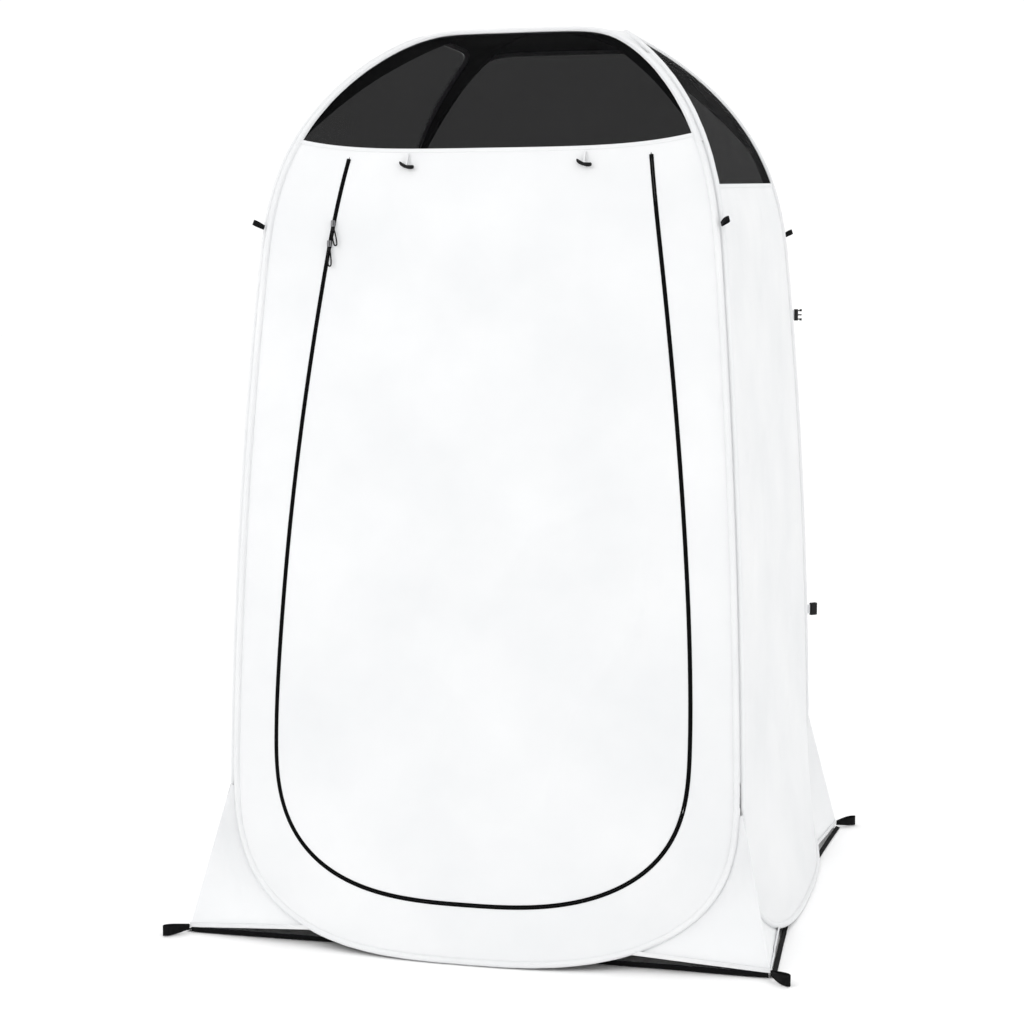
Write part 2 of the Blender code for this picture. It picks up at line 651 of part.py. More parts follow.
def ground_strap(index, side):
    """Lies on edge from corner to corner; at the sides it passes inside the hoop's foot."""
    reach = FOOT_HALF - STRAP_WIDE / 2 - 0.0010
    shares = [2 * k / STRAP_STEPS - 1 for k in range(STRAP_STEPS + 1)]
    height = STRAP_WIDE / 2 + STRAP_LIFT
    bow = STRAP_BOW[side]
    path = [Vector((share * reach, -FOOT_HALF + bow * (1 - share**2), height)) for share in shares]
    strap = band(f"ground_strap_{side}", path, [STRAP_WIDE] * len(path), STRAP_THICK, lambda i: AXIS_Z)
    place(f"ground_strap_{side}", strap, black_web(), turn(index))


def webbing_loop(name, start, outward, length, narrow, wide, opening, thickness):
    """A folded strip of webbing standing on edge: pinched at its start, wide and open at its fold."""
    up = AXIS_Z - outward * AXIS_Z.dot(outward)
    up.normalize()
    aside = up.cross(outward).normalized()
    profile = [(0.00, 0.13), (0.25, 0.20), (0.55, 0.50), (0.80, 0.50), (0.94, 0.36), (1.00, 0.12)]
    around = profile + [(s, -w) for s, w in reversed(profile)]
    path = [start + outward * s * length + aside * w * opening for s, w in around]
    widths = [narrow + (wide - narrow) * s for s, _ in around]
    return band(name, path, widths, thickness, lambda i: up, closed=True)


STAKE_LOOP_GAP, STAKE_LOOP_Z = 0.0052, 0.0116  # where a stake loop starts, outside the gusset's tip
GUY_LOOP_Z, GUY_LOOP_LIFT = 1.442, math.radians(24)
SEAM_STAND = 0.0025  # how far outside the corner seam a sewn-on piece starts, along each wall


def corner_loops(index, corner):
    """Stake and guy loops at one corner; index turns the front right corner to it."""
    diagonal = turn(index) @ Vector((1, -1, 0)).normalized()
    start = diagonal * (FOOT_HALF * math.sqrt(2) + STAKE_LOOP_GAP) + AXIS_Z * STAKE_LOOP_Z
    loop = webbing_loop(f"stake_loop_{corner}", start, diagonal, 0.054, 0.007, 0.022, 0.016, 0.0013)
    place(f"stake_loop_{corner}", loop, black_web(), None, start)
    start = diagonal * ((wall_half(GUY_LOOP_Z) + SEAM_STAND) * math.sqrt(2)) + AXIS_Z * GUY_LOOP_Z
    lifted = diagonal * math.cos(GUY_LOOP_LIFT) + AXIS_Z * math.sin(GUY_LOOP_LIFT)
    loop = webbing_loop(f"guy_loop_{corner}", start, lifted, 0.024, 0.0095, 0.0105, 0.0085, 0.0011)
    place(f"guy_loop_{corner}", loop, black_web(), None, start)


# The closure strap that holds the folded tent: a plug and a socket on short straps at the back right seam.

PLUG_Z, SOCKET_Z = 1.257, 0.550
BUCKLE_STRAP_WIDE = 0.0220


def buckle_start(z):
    diagonal = Vector((1, 1, 0)).normalized()
    return diagonal * ((wall_half(z) + SEAM_STAND) * math.sqrt(2)) + AXIS_Z * z, diagonal


def buckle_frame(z, reach):
    """X outwards from the seam, Z up, with its origin at the end of the strap."""
    start, diagonal = buckle_start(z)
    aside = AXIS_Z.cross(diagonal)
    frame = Matrix((diagonal, aside, AXIS_Z)).transposed().to_4x4()
    return start, Matrix.Translation(start + diagonal * reach) @ frame


def buckle_part(name, z, reach, base, pieces, holes=()):
    """Builds one buckle half from a base block, more blocks joined to it, and blocks cut from it."""
    start, frame = buckle_frame(z, reach)
    shift = Matrix.Translation(-start) @ frame
    base.transform(shift)
    obj = place(name, base, material("buckle_plastic", PLASTIC, 0.3))
    obj.location = start
    for mesh in pieces:
        mesh.transform(shift)
    union(obj, pieces)
    for number, mesh in enumerate(holes):
        mesh.transform(shift)
        cutter = bpy.data.objects.new(f"{name}_hole_{number}", mesh)
        cutter.location = start
        cutter.hide_render, cutter.display_type = True, "WIRE"
        HELPERS.objects.link(cutter)
        cut(obj, remove=[cutter])


def buckle_parts():
    strap_path = (("upper", PLUG_Z, 0.006), ("lower", SOCKET_Z, 0.010))
    for name, z, reach in strap_path:
        start, frame = buckle_frame(z, 0)
        points = [frame @ Vector((reach * k / 4, 0.0025 * math.sin(math.pi * k / 4), 0)) for k in range(5)]
        strap = band(f"buckle_strap_{name}", points, [BUCKLE_STRAP_WIDE] * 5, 0.0014, lambda i: AXIS_Z)
        place(f"buckle_strap_{name}", strap, white(), None, start)

    plug = block("buckle_plug", (0.0090, 0.0060, 0.0270), (0.0050, 0, 0), 0.0012)
    arms = [block("plug_guide", (0.0120, 0.0032, 0.0030), (0.0145, 0, 0))]
    for way in (-1, 1):
        arms.append(block("plug_arm", (0.0110, 0.0040, 0.0026), (0.0140, 0, way * 0.0100)))
        arms.append(block("plug_catch", (0.0036, 0.0040, 0.0052), (0.0190, 0, way * 0.0108)))
    buckle_part("buckle_plug", PLUG_Z, 0.0066, plug, arms)

    socket = block("buckle_socket", (0.0180, 0.0095, 0.0300), (0.0095, 0, 0), 0.0018)
    mouth = block("socket_mouth", (0.0150, 0.0062, 0.0230), (0.0130, 0, 0))
    windows = [block("socket_window", (0.0080, 0.0062, 0.0120), (0.0100, 0, way * 0.0160)) for way in (-1, 1)]
    buckle_part("buckle_socket", SOCKET_Z, 0.0106, socket, [], [mouth, *windows])


def build():
    for index, side in enumerate(SIDES):
        hoop_parts(index, side)
        below = window_and_wall(index, side)
        if side == "front":
            door_parts(below)
        ground_strap(index, side)
    for index, corner in enumerate(CORNERS):
        gusset(index + 1, corner)
        corner_loops(index, corner)
    roof_patch()
    slider_parts()
    toggle_parts()
    buckle_parts()


clear_scene()
TENT = make_collection("privacy_shower_tent")
HELPERS = make_collection("helpers")
HELPERS.hide_render = True
build()
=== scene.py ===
"""Looks of the pop-up privacy shower tent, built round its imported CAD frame.

Frame: +Z up, the door faces -Y, the origin is on the ground at the middle of the footprint. Units are metres.
Each side is made as if it were the front one, from flat (x, z) outlines laid on the tent's surface, and is
then turned to its place.
"""

import math

import bmesh
import bpy
import numpy as np
from mathutils import Matrix, Vector, noise


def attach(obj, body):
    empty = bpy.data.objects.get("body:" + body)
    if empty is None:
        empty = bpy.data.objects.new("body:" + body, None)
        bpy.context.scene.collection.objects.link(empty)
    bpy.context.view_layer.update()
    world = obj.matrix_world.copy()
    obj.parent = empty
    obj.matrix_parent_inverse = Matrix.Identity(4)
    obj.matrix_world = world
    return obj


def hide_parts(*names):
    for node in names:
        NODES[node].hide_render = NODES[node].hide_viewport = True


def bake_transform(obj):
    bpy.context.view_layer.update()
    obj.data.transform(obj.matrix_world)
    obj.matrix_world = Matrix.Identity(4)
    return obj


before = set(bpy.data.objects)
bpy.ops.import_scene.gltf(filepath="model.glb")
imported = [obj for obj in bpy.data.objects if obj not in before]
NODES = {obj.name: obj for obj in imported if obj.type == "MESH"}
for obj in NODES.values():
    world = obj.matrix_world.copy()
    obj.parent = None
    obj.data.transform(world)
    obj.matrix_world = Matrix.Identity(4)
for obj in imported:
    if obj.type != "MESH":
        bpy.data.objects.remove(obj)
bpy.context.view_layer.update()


def paired(ends, flanks):
    """One value for the front and the back, and one for the two sides."""
    return {"front": ends, "right": flanks, "back": ends, "left": flanks}


# Driving dimensions: the CAD part's, apart from slimmer sleeves and zip tapes.
FOOT_HALF = 0.600
SEAM_BASE, SEAM_SLOPE, SEAM_BOW = 0.5394, 0.005, -0.0338
SHOULDER_Z, APEX_Z = 1.357, 1.9245
SHOULDER_IN, SHOULDER_OUT = 2.84, 1.616
ROOF_HALF, ROOF_POWER = 0.199, 6.4
ROOF_CROWN = 1.876
GUSSET_Z = 0.350
HOOP_FOOT_WIDE = paired(3.0, 4.8)
HOOP_FOOT_DEEP = paired(3.2, 2.4)
BULGE = paired(0.138, 0.072)
BULGE_Z, BULGE_POWER = 0.75, 2.6
WIRE_R, SLEEVE_R, SLEEVE_GAP = 0.00225, 0.0061, 0.0105
SEAT_R = 0.0070  # distance of the fabric behind the corner seams' outer line
WINDOW_Z = {"front": 1.620, "right": 1.537, "back": 1.555, "left": 1.537}
WINDOW_SAG = paired(0.027, 0.0)
WINDOW_TILT = {"front": 0.0, "right": 0.049, "back": 0.0, "left": -0.049}  # lower in front
WINDOW_POWER = 4
DOOR_WIDE_Z, DOOR_FOOT_Z, DOOR_HALF, DOOR_TOP_HALF, DOOR_TAPER = 0.450, 0.110, 0.428, 0.311, 1.6
DOOR_LOW_POWER, DOOR_LOW_ROOT = 3.2, 2.8
ZIP_TOP_Z = 1.576
DOOR_LEAN, LEAN_POWER = 0.0137, 1.35  # how far the zip's top stands to the right of the middle
SPLIT_Z = 1.200  # where the door's cloth and its zip change piece
TAPE, TOOTH = 0.0042, 0.0016  # width of one zip tape, and of its teeth

CLOTH = 0.0007  # thickness of the fabric
FINE, COARSE = 0.009, 0.012  # grid steps of the front cloth and of the other sides'
SIDES = ("front", "right", "back", "left")
CORNERS = ("front_right", "back_right", "back_left", "front_left")
AXIS_X, AXIS_Z = Vector((1, 0, 0)), Vector((0, 0, 1))


# The tent's surface, for arrays of x across and z up.


def seam_half(z):
    """Half the outside width between corner seams at this height."""
    t = np.clip((np.asarray(z, float) - SHOULDER_Z) / (APEX_Z - SHOULDER_Z), 0, 1)
    return (SEAM_BASE + SEAM_SLOPE * z + SEAM_BOW * z * z) * (1 - t**SHOULDER_IN) ** (1 / SHOULDER_OUT)


def wall_half(z):
    return seam_half(z) - SEAT_R


FOOT_WIDE = float(wall_half(GUSSET_Z) - SLEEVE_GAP)  # half a hoop's width where its round foot starts


def depth(x, z, bulge):
    """Distance from the axis to the wall."""
    across = 1 - np.minimum(np.abs(x) / FOOT_WIDE, 1) ** BULGE_POWER
    return wall_half(z) + bulge * np.maximum(1 - z / BULGE_Z, 0) ** 2 * across


def arch_top():
    """The height of a hoop's highest point."""
    heights = np.linspace(SHOULDER_Z, APEX_Z, 20001)
    return float(heights[np.argmin(np.abs(wall_half(heights) - SLEEVE_GAP - ROOF_HALF))])


ARCH_TOP = arch_top()


def travelled(path):
    """How far along a path each of its points is."""
    return np.concatenate([[0], np.cumsum(np.linalg.norm(np.diff(path, axis=0), axis=1))])


def unit(vectors):
    return vectors / np.linalg.norm(vectors, axis=1)[:, None]


def directions(path, closed):
    """The unit direction in which a path runs at each of its points."""
    ahead, behind = np.roll(path, -1, 0), np.roll(path, 1, 0)
    if not closed:
        ahead[-1], behind[0] = path[-1], path[0]
    return unit(ahead - behind)


def evenly(points, step, closed=False):
    """The same path with evenly spaced points."""
    path = np.vstack([points, points[:1]]) if closed else np.asarray(points)
    lengths = travelled(path)
    count = max(int(round(lengths[-1] / step)), 2)
    at = np.linspace(0, lengths[-1], count + 1)
    at = at[:-1] if closed else at
    return np.stack([np.interp(at, lengths, path[:, k]) for k in range(path.shape[1])], axis=1)


def hoop_half_line(side, count=400):
    """The right half of a side's hoop as (x, z), from the middle of its foot to the top of its arch."""
    angle = np.linspace(0, math.pi / 2, count)
    foot_x = FOOT_WIDE * np.sin(angle) ** (2 / HOOP_FOOT_WIDE[side])
    foot_z = SEAT_R + (GUSSET_Z - SEAT_R) * (1 - np.cos(angle) ** (2 / HOOP_FOOT_DEEP[side]))
    z = ARCH_TOP - (ARCH_TOP - GUSSET_Z) * (1 - np.arange(1, count + 1) / count) ** 2
    over_roof = np.maximum((wall_half(z) - SLEEVE_GAP) ** ROOF_POWER - ROOF_HALF**ROOF_POWER, 0)
    wide = over_roof ** (1 / ROOF_POWER)
    return np.stack([np.concatenate([foot_x, wide]), np.concatenate([foot_z, z])], axis=1)


HALF_LINE = {side: hoop_half_line(side) for side in SIDES}


def whole(side):
    return np.vstack([HALF_LINE[side], HALF_LINE[side][-2:0:-1] * (-1, 1)])


def hoop_line(side, step=0.006):
    """A side's whole hoop as evenly spaced (x, z) points, counter-clockwise seen from outside."""
    flat = whole(side)
    solid = np.column_stack([flat[:, 0], -depth(flat[:, 0], flat[:, 1], BULGE[side]), flat[:, 1]])
    return evenly(solid, step, True)[:, [0, 2]]


def line_distance(flat, line, closed=False):
    """How far each point is from a line of points."""
    a, b = (line, np.roll(line, -1, 0)) if closed else (line[:-1], line[1:])
    run = b - a
    length = np.maximum((run**2).sum(1), 1e-12)
    found = []
    for chunk in np.array_split(flat, max(len(flat) // 4000, 1)):
        away = chunk[:, None] - a[None]
        share = np.clip((away * run).sum(2) / length, 0, 1)
        found.append(np.linalg.norm(away - share[..., None] * run, axis=2).min(1))
    return np.concatenate(found)


COARSE_HOOP = {side: evenly(whole(side), 0.018, True) for side in SIDES}


def hoop_half(side, z):
    """Half the width between a hoop's two sides, and less than nothing above and below it."""
    return np.interp(z, HALF_LINE[side][:, 1], HALF_LINE[side][:, 0], left=-1, right=-1)


def inside_hoop(side, flat):
    """Distance inside a side's hoop, negative outside it."""
    inside = np.abs(flat[:, 0]) < hoop_half(side, flat[:, 1])
    return np.where(inside, 1, -1) * line_distance(flat, COARSE_HOOP[side], True)


def window_line(side, x):
    """Height of the sagging lower edge of a side's window."""
    wide = float(wall_half(WINDOW_Z[side]))
    sag = WINDOW_SAG[side] * (1 - np.minimum(np.abs(x) / wide, 1) ** WINDOW_POWER)
    return WINDOW_Z[side] + WINDOW_TILT[side] * x - sag


def door_half(z):
    """Half the width between the zip's two runs."""
    rise = np.maximum(z - DOOR_WIDE_Z, 0) / (ZIP_TOP_Z - DOOR_WIDE_Z)
    drop = np.clip((DOOR_WIDE_Z - z) / (DOOR_WIDE_Z - DOOR_FOOT_Z), 0, 1)
    high = DOOR_HALF - (DOOR_HALF - DOOR_TOP_HALF) * rise**DOOR_TAPER
    return np.where(z >= DOOR_WIDE_Z, high, DOOR_HALF * (1 - drop**DOOR_LOW_POWER) ** (1 / DOOR_LOW_ROOT))


def door_lean(z):
    """How far the zip's outline stands to the right."""
    return DOOR_LEAN * (np.maximum(z - DOOR_WIDE_Z, 0) / (ZIP_TOP_Z - DOOR_WIDE_Z)) ** LEAN_POWER


def zip_line(top, step=0.004):
    """The U of the zip as (x, z) points, from its left top, round the foot, to its right top."""
    share = np.linspace(0, 1, 400)
    high = np.column_stack([door_half(top - (top - DOOR_WIDE_Z) * share), top - (top - DOOR_WIDE_Z) * share])
    angle = np.linspace(0, math.pi / 2, 400)[1:]
    low_x = DOOR_HALF * np.cos(angle) ** (2 / DOOR_LOW_ROOT)
    low_z = DOOR_WIDE_Z - (DOOR_WIDE_Z - DOOR_FOOT_Z) * np.sin(angle) ** (2 / DOOR_LOW_POWER)
    right = np.vstack([high, np.column_stack([low_x, low_z])])
    both = np.vstack([right * (-1, 1), right[-2::-1]])
    both[:, 0] += door_lean(both[:, 1])
    return evenly(both, step)


ZIP_LONG = zip_line(1.70, 0.008)


def outside_zip(flat):
    """Distance outside the zip's line, negative inside the door."""
    inside = (np.abs(flat[:, 0] - door_lean(flat[:, 1])) < door_half(flat[:, 1])) & (flat[:, 1] > DOOR_FOOT_Z)
    return np.where(inside, -1, 1) * line_distance(flat, ZIP_LONG)


def fade(distance, reach):
    """Rises smoothly from 0 at no distance to 1 at the reach."""
    t = np.clip(np.abs(distance) / reach, 0, 1)
    return t * t * (3 - 2 * t)


HOOP_HOLD, WINDOW_HOLD, ZIP_HOLD = 0.16, 0.10, 0.09  # how far from each the fabric reaches its full slack
SLACK, RIPPLE, FOLD, FOLD_WIDE = 0.0060, 0.0016, 0.0032, 0.12  # heights, and how much of the noise folds


def ease(side, flat):
    """How far the fabric stands off the taut surface, from slack and from folds left by packing."""
    shift = 31.7 * SIDES.index(side)
    hold = fade(inside_hoop(side, flat), HOOP_HOLD)
    hold *= fade(flat[:, 1] - window_line(side, flat[:, 0]), WINDOW_HOLD)
    if side == "front":
        hold *= fade(outside_zip(flat), ZIP_HOLD)
    found = np.zeros(len(flat))
    for k, (x, z) in enumerate(flat):
        if hold[k] > 0:
            slack = noise.noise(Vector((1.9 * x, shift, 1.3 * z)))
            ripple = noise.noise(Vector((6.0 * x + 2.5 * z, shift + 5, 3.2 * z - 1.0 * x)))
            fold = abs(noise.noise(Vector((3.4 * x - 1.6 * z, shift + 9, 2.3 * z + 1.9 * x))))
            found[k] = SLACK * slack + RIPPLE * ripple + FOLD * max(FOLD_WIDE - fold, 0) / FOLD_WIDE
    return hold * found


def surface(side, flat, eased=True):
    """Points of a side's fabric and its outward normals, as it stands on the front side."""
    flat, bulge, step = np.asarray(flat, float), BULGE[side], 0.002
    x, z = flat[:, 0], flat[:, 1]
    slope_x = (depth(x + step, z, bulge) - depth(x - step, z, bulge)) / (2 * step)
    slope_z = (depth(x, z + step, bulge) - depth(x, z - step, bulge)) / (2 * step)
    normals = unit(np.column_stack([-slope_x, -np.ones(len(flat)), -slope_z]))
    points = np.column_stack([x, -depth(x, z, bulge), z])
    if eased:
        points += normals * ease(side, flat)[:, None]
    return points, normals


# Mesh helpers.

SHARP = math.radians(40)  # edges that turn further than this aren't smoothed
# The corners of a small block, as signs along it, across it and up.
BLOCK = ((-1, -1, -1), (1, -1, -1), (1, 1, -1), (-1, 1, -1), (-1, -1, 1), (1, -1, 1), (1, 1, 1), (-1, 1, 1))
BLOCK_FACES = ((0, 3, 2, 1), (4, 5, 6, 7), (0, 1, 5, 4), (1, 2, 6, 5), (2, 3, 7, 6), (3, 0, 4, 7))
BLOCK_TAPER = 0.72  # size of a block's top compared with its base
CLOTH_REACH = 0.56  # half the width of the grid that a side's cloth is cut from, wider than any wall


class Piece:
    """A mesh gathered from parts, each with its own finish."""

    def __init__(self, name):
        self.name, self.points, self.faces, self.uvs, self.marks, self.finishes = name, [], [], [], [], []

    def add(self, points, faces, uv, finish):
        start = sum(len(p) for p in self.points)
        if finish not in self.finishes:
            self.finishes.append(finish)
        self.points.append(np.asarray(points, float))
        self.uvs.append(np.asarray(uv, float))
        self.faces += [tuple(start + i for i in face) for face in faces]
        self.marks += [self.finishes.index(finish)] * len(faces)

    def make(self, index=0, recalc=True):
        """The object, turned from the front side, or the front right corner, to another."""
        mesh = bpy.data.meshes.new(self.name)
        mesh.from_pydata(np.vstack(self.points).tolist(), [], self.faces)
        mesh.polygons.foreach_set("material_index", self.marks)
        layer, uvs = mesh.uv_layers.new(name="metres"), np.vstack(self.uvs)
        loops = np.zeros(len(mesh.loops), np.int32)
        mesh.loops.foreach_get("vertex_index", loops)
        layer.data.foreach_set("uv", uvs[loops].ravel())
        if recalc:
            work = bmesh.new()
            work.from_mesh(mesh)
            bmesh.ops.recalc_face_normals(work, faces=work.faces)
            work.to_mesh(mesh)
            work.free()
        mesh.transform(Matrix.Rotation(index * math.pi / 2, 4, "Z"))
        mesh.shade_smooth()
        mesh.set_sharp_from_angle(angle=SHARP)
        for finish in self.finishes:
            mesh.materials.append(FINISH[finish])
        obj = bpy.data.objects.new(self.name, mesh)
        bpy.context.scene.collection.objects.link(obj)
        return obj


def loft(piece, rows, finish, closed=False, outline_closed=True):
    """Skins equal rows of points; UVs are metres along the path and across the outline."""
    rows = np.asarray(rows, float)
    count, size = rows.shape[:2]
    grid = np.meshgrid(travelled(rows.mean(1)), travelled(rows[count // 2]), indexing="ij")
    uv = np.stack(grid, axis=2).reshape(-1, 2)
    faces = []
    for i in range(count if closed else count - 1):
        a, b = i * size, (i + 1) % count * size
        last = size if outline_closed else size - 1
        faces += [(a + j, a + (j + 1) % size, b + (j + 1) % size, b + j) for j in range(last)]
    if outline_closed and not closed:
        faces += [tuple(range(size)), tuple(range((count - 1) * size, count * size))]
    piece.add(rows.reshape(-1, 3), faces, uv, finish)


def path_frames(side, line, closed=False, eased=True):
    """(points, normals, directions to the left of the path) along a line laid on a side."""
    points, normals = surface(side, line, eased)
    run = directions(points, closed)
    normals = unit(normals - run * (normals * run).sum(1)[:, None])
    return points, normals, np.cross(normals, run)


def ribbon(piece, frames, outline, finish, closed=False):
    """Sweeps an outline of (sideways, lift) points along a path."""
    points, normals, lateral = frames
    rows = np.stack([points + s * lateral + h * normals for s, h in outline], axis=1)
    loft(piece, rows, finish, closed)


def ticks(piece, frames, size, sideways, lift, finish, every=1, slant=0.0):
    """A row of small blocks along a path, such as stitches or teeth; size is (along, across, high)."""
    points, normals, lateral = (f[::every] for f in frames)
    run = np.cross(lateral, normals)
    middle = points + sideways * lateral + lift * normals
    turned = np.cos(slant) * run + np.sin(slant) * lateral
    wide = np.cross(normals, turned)
    corners = []
    for a, b, c in BLOCK:
        taper = BLOCK_TAPER if c > 0 else 1.0
        corner = a * taper * size[0] / 2 * turned + b * taper * size[1] / 2 * wide + c * size[2] / 2 * normals
        corners.append(middle + corner)
    corners = np.stack(corners, axis=1)
    faces = [tuple(8 * k + i for i in face) for k in range(len(corners)) for face in BLOCK_FACES]
    flat = corners.reshape(-1, 3)
    piece.add(flat, faces, flat[:, [0, 2]], finish)


def clip(points, faces, value):
    """Cuts a flat mesh where value, one number a point, is zero, and keeps the part above zero."""
    points, made, kept = list(points), {}, []

    def crossing(a, b):
        key = (min(a, b), max(a, b))
        if key not in made:
            share = value[a] / (value[a] - value[b])
            made[key] = len(points)
            points.append(points[a] + share * (points[b] - points[a]))
        return made[key]

    for face in faces:
        inside = [value[i] > 0 for i in face]
        if all(inside):
            kept.append(face)
        elif any(inside):
            outline = []
            for k, a in enumerate(face):
                after = (k + 1) % len(face)
                if inside[k]:
                    outline.append(a)
                if inside[k] != inside[after]:
                    outline.append(crossing(a, face[after]))
            kept.append(tuple(outline))
    used = sorted({i for face in kept for i in face})
    place = {old: new for new, old in enumerate(used)}
    return np.array([points[i] for i in used]), [tuple(place[i] for i in face) for face in kept]


def cloth_mesh(piece, side, step, tests, finish):
    """The part of a side's surface where every test is above zero."""
    xs = np.arange(-CLOTH_REACH, CLOTH_REACH + step, step)
    zs = np.arange(0.0, ARCH_TOP + 2 * step, step)
    grid = np.stack(np.meshgrid(xs, zs, indexing="ij"), axis=2).reshape(-1, 2)
    tall = len(zs)
    corners = [(i * tall + j, (i + 1) * tall + j) for i in range(len(xs) - 1) for j in range(tall - 1)]
    faces = [(a, b, b + 1, a + 1) for a, b in corners]
    for test in tests:
        grid, faces = clip(grid, faces, test(grid))
    points, _ = surface(side, grid)
    piece.add(points, faces, grid, finish)


def two_layers(obj, thickness=CLOTH):
    """Gives a one-layer cloth its inner face, coloured near black as painted shade of the tent's dim inside.
    """
    obj.data.materials.append(FINISH["coating_painted_shade"])
    layers = obj.modifiers.new("layers", "SOLIDIFY")
    layers.thickness, layers.offset, layers.use_rim = thickness, -1, False
    layers.material_offset = len(obj.data.materials) - 1
    return obj


# Finishes.


class Finish:
    """A procedural material; its nodes are added through short calls."""

    def __init__(self, name, roughness, metallic=0.0, **fixed):
        self.material = bpy.data.materials.new(name)
        self.material.use_nodes = True
        self.tree = self.material.node_tree
        self.shader = self.tree.nodes["Principled BSDF"]
        self.shader.inputs["Roughness"].default_value = roughness
        self.shader.inputs["Metallic"].default_value = metallic
        for key, value in fixed.items():
            self.shader.inputs[key.replace("_", " ")].default_value = value

    def node(self, kind, settings=None, **inputs):
        made = self.tree.nodes.new("ShaderNode" + kind)
        for key, value in (settings or {}).items():
            setattr(made, key, value)
        for key, value in inputs.items():
            self.set(made.inputs[int(key[1:]) if key[1:].isdigit() else key.replace("_", " ")], value)
        return made

    def set(self, socket, value):
        if isinstance(value, bpy.types.NodeSocket):
            self.tree.links.new(value, socket)
        else:
            socket.default_value = value

    def place(self, uv):
        return self.node("TexCoord").outputs["UV" if uv else "Object"]

    def noise(self, place, scale, detail=3.0, roughness=0.5):
        made = self.node("TexNoise", Vector=place, Scale=scale, Detail=detail, Roughness=roughness)
        return made.outputs["Fac"]

    def wave(self, place, axis, length, distortion=0.0):
        """Bands across an axis, one every length metres."""
        settings = {"wave_type": "BANDS", "bands_direction": axis}
        scale = math.pi / 10 / length
        made = self.node("TexWave", settings, Vector=place, Scale=scale, Distortion=distortion)
        return made.outputs["Fac"]

    def math(self, operation, *values):
        made = self.node("Math", {"operation": operation})
        for socket, value in zip(made.inputs, values):
            self.set(socket, value)
        return made.outputs[0]

    def colour(self, factor, dark, light, low=0.3, high=0.7):
        ramp = self.node("ValToRGB", Fac=factor)
        ends = ramp.color_ramp.elements
        ends[0].position, ends[0].color = low, (*dark, 1)
        ends[1].position, ends[1].color = high, (*light, 1)
        self.tree.links.new(ramp.outputs["Color"], self.shader.inputs["Base Color"])

    def rough(self, factor, low, high):
        spread = self.node("MapRange", Value=factor, To_Min=low, To_Max=high)
        self.tree.links.new(spread.outputs["Result"], self.shader.inputs["Roughness"])

    def bump(self, height, distance, strength=1.0):
        made = self.node("Bump", Height=height, Distance=distance, Strength=strength)
        self.tree.links.new(made.outputs["Normal"], self.shader.inputs["Normal"])


def woven(name, dark, light, thread, height, roughness):
    """Plain weave: crossing threads, a slightly uneven colour and a soft crumple."""
    made = Finish(name, roughness)
    place = made.place(True)
    weave = made.math("MULTIPLY", made.wave(place, "X", thread), made.wave(place, "Y", thread))
    crumple = made.noise(place, 24.0, 5.0, 0.55)
    made.colour(made.noise(place, 3.2, 4.0), dark, light)
    made.rough(crumple, roughness - 0.08, roughness + 0.08)
    made.bump(made.math("ADD", made.math("MULTIPLY", weave, 0.35), crumple), height)
    return made.material


def webbing(name, dark, light, roughness, gloss=0.5):
    """Narrow woven tape: ribs across, slanted threads and a little wear."""
    made = Finish(name, roughness, Specular_IOR_Level=gloss)
    place = made.place(True)
    slanted = made.node("Mapping", Vector=place, Rotation=(0, 0, math.radians(38))).outputs["Vector"]
    ribs, twill = made.wave(place, "X", 0.0016, 0.4), made.wave(slanted, "X", 0.0011)
    height = made.math("ADD", ribs, made.math("MULTIPLY", twill, 0.6))
    made.colour(made.math("MULTIPLY", made.noise(place, 160.0, 4.0), height), dark, light, 0.1, 0.9)
    made.rough(made.noise(place, 90.0), roughness - 0.1, roughness + 0.1)
    made.bump(height, 0.00025, 0.7)
    return made.material


def mesh_fabric():
    """Dark see-through netting: a fine grid of threads, which lets about a sixth of the light through."""
    made = Finish("mesh_black", 0.9, Specular_IOR_Level=0.03)
    place = made.place(True)
    tilted = made.node("Mapping", Vector=place, Rotation=(0, 0, math.radians(45))).outputs["Vector"]
    holes = made.math("MULTIPLY", made.wave(tilted, "X", 0.0009), made.wave(tilted, "Y", 0.0009))
    cover = made.node("MapRange", Value=holes, To_Min=0.92, To_Max=0.60).outputs["Result"]
    made.set(made.shader.inputs["Alpha"], cover)
    made.colour(made.noise(place, 7.0, 4.0), (0.0015, 0.0015, 0.0017), (0.0030, 0.0031, 0.0034))
    made.bump(holes, 0.0002, 0.4)
    return made.material


def plastic(name, colour, roughness, grain=900.0, gloss=0.3):
    made = Finish(name, roughness, Specular_IOR_Level=gloss)
    place = made.place(False)
    light = tuple(1.9 * c for c in colour)
    made.colour(made.noise(place, 140.0, 3.0), colour, light)
    made.rough(made.noise(place, 260.0), roughness - 0.08, roughness + 0.12)
    made.bump(made.noise(place, grain, 2.0), 0.00006, 0.6)
    return made.material


def metal(name, dark, light, roughness):
    made = Finish(name, roughness, 1.0)
    place = made.place(False)
    drawn = made.node("Mapping", Vector=place, Scale=(1.0, 1.0, 0.08)).outputs["Vector"]
    made.colour(made.noise(drawn, 700.0, 4.0), dark, light)
    made.rough(made.noise(place, 220.0), roughness - 0.1, roughness + 0.15)
    made.bump(made.noise(drawn, 1400.0), 0.00003, 0.5)
    return made.material


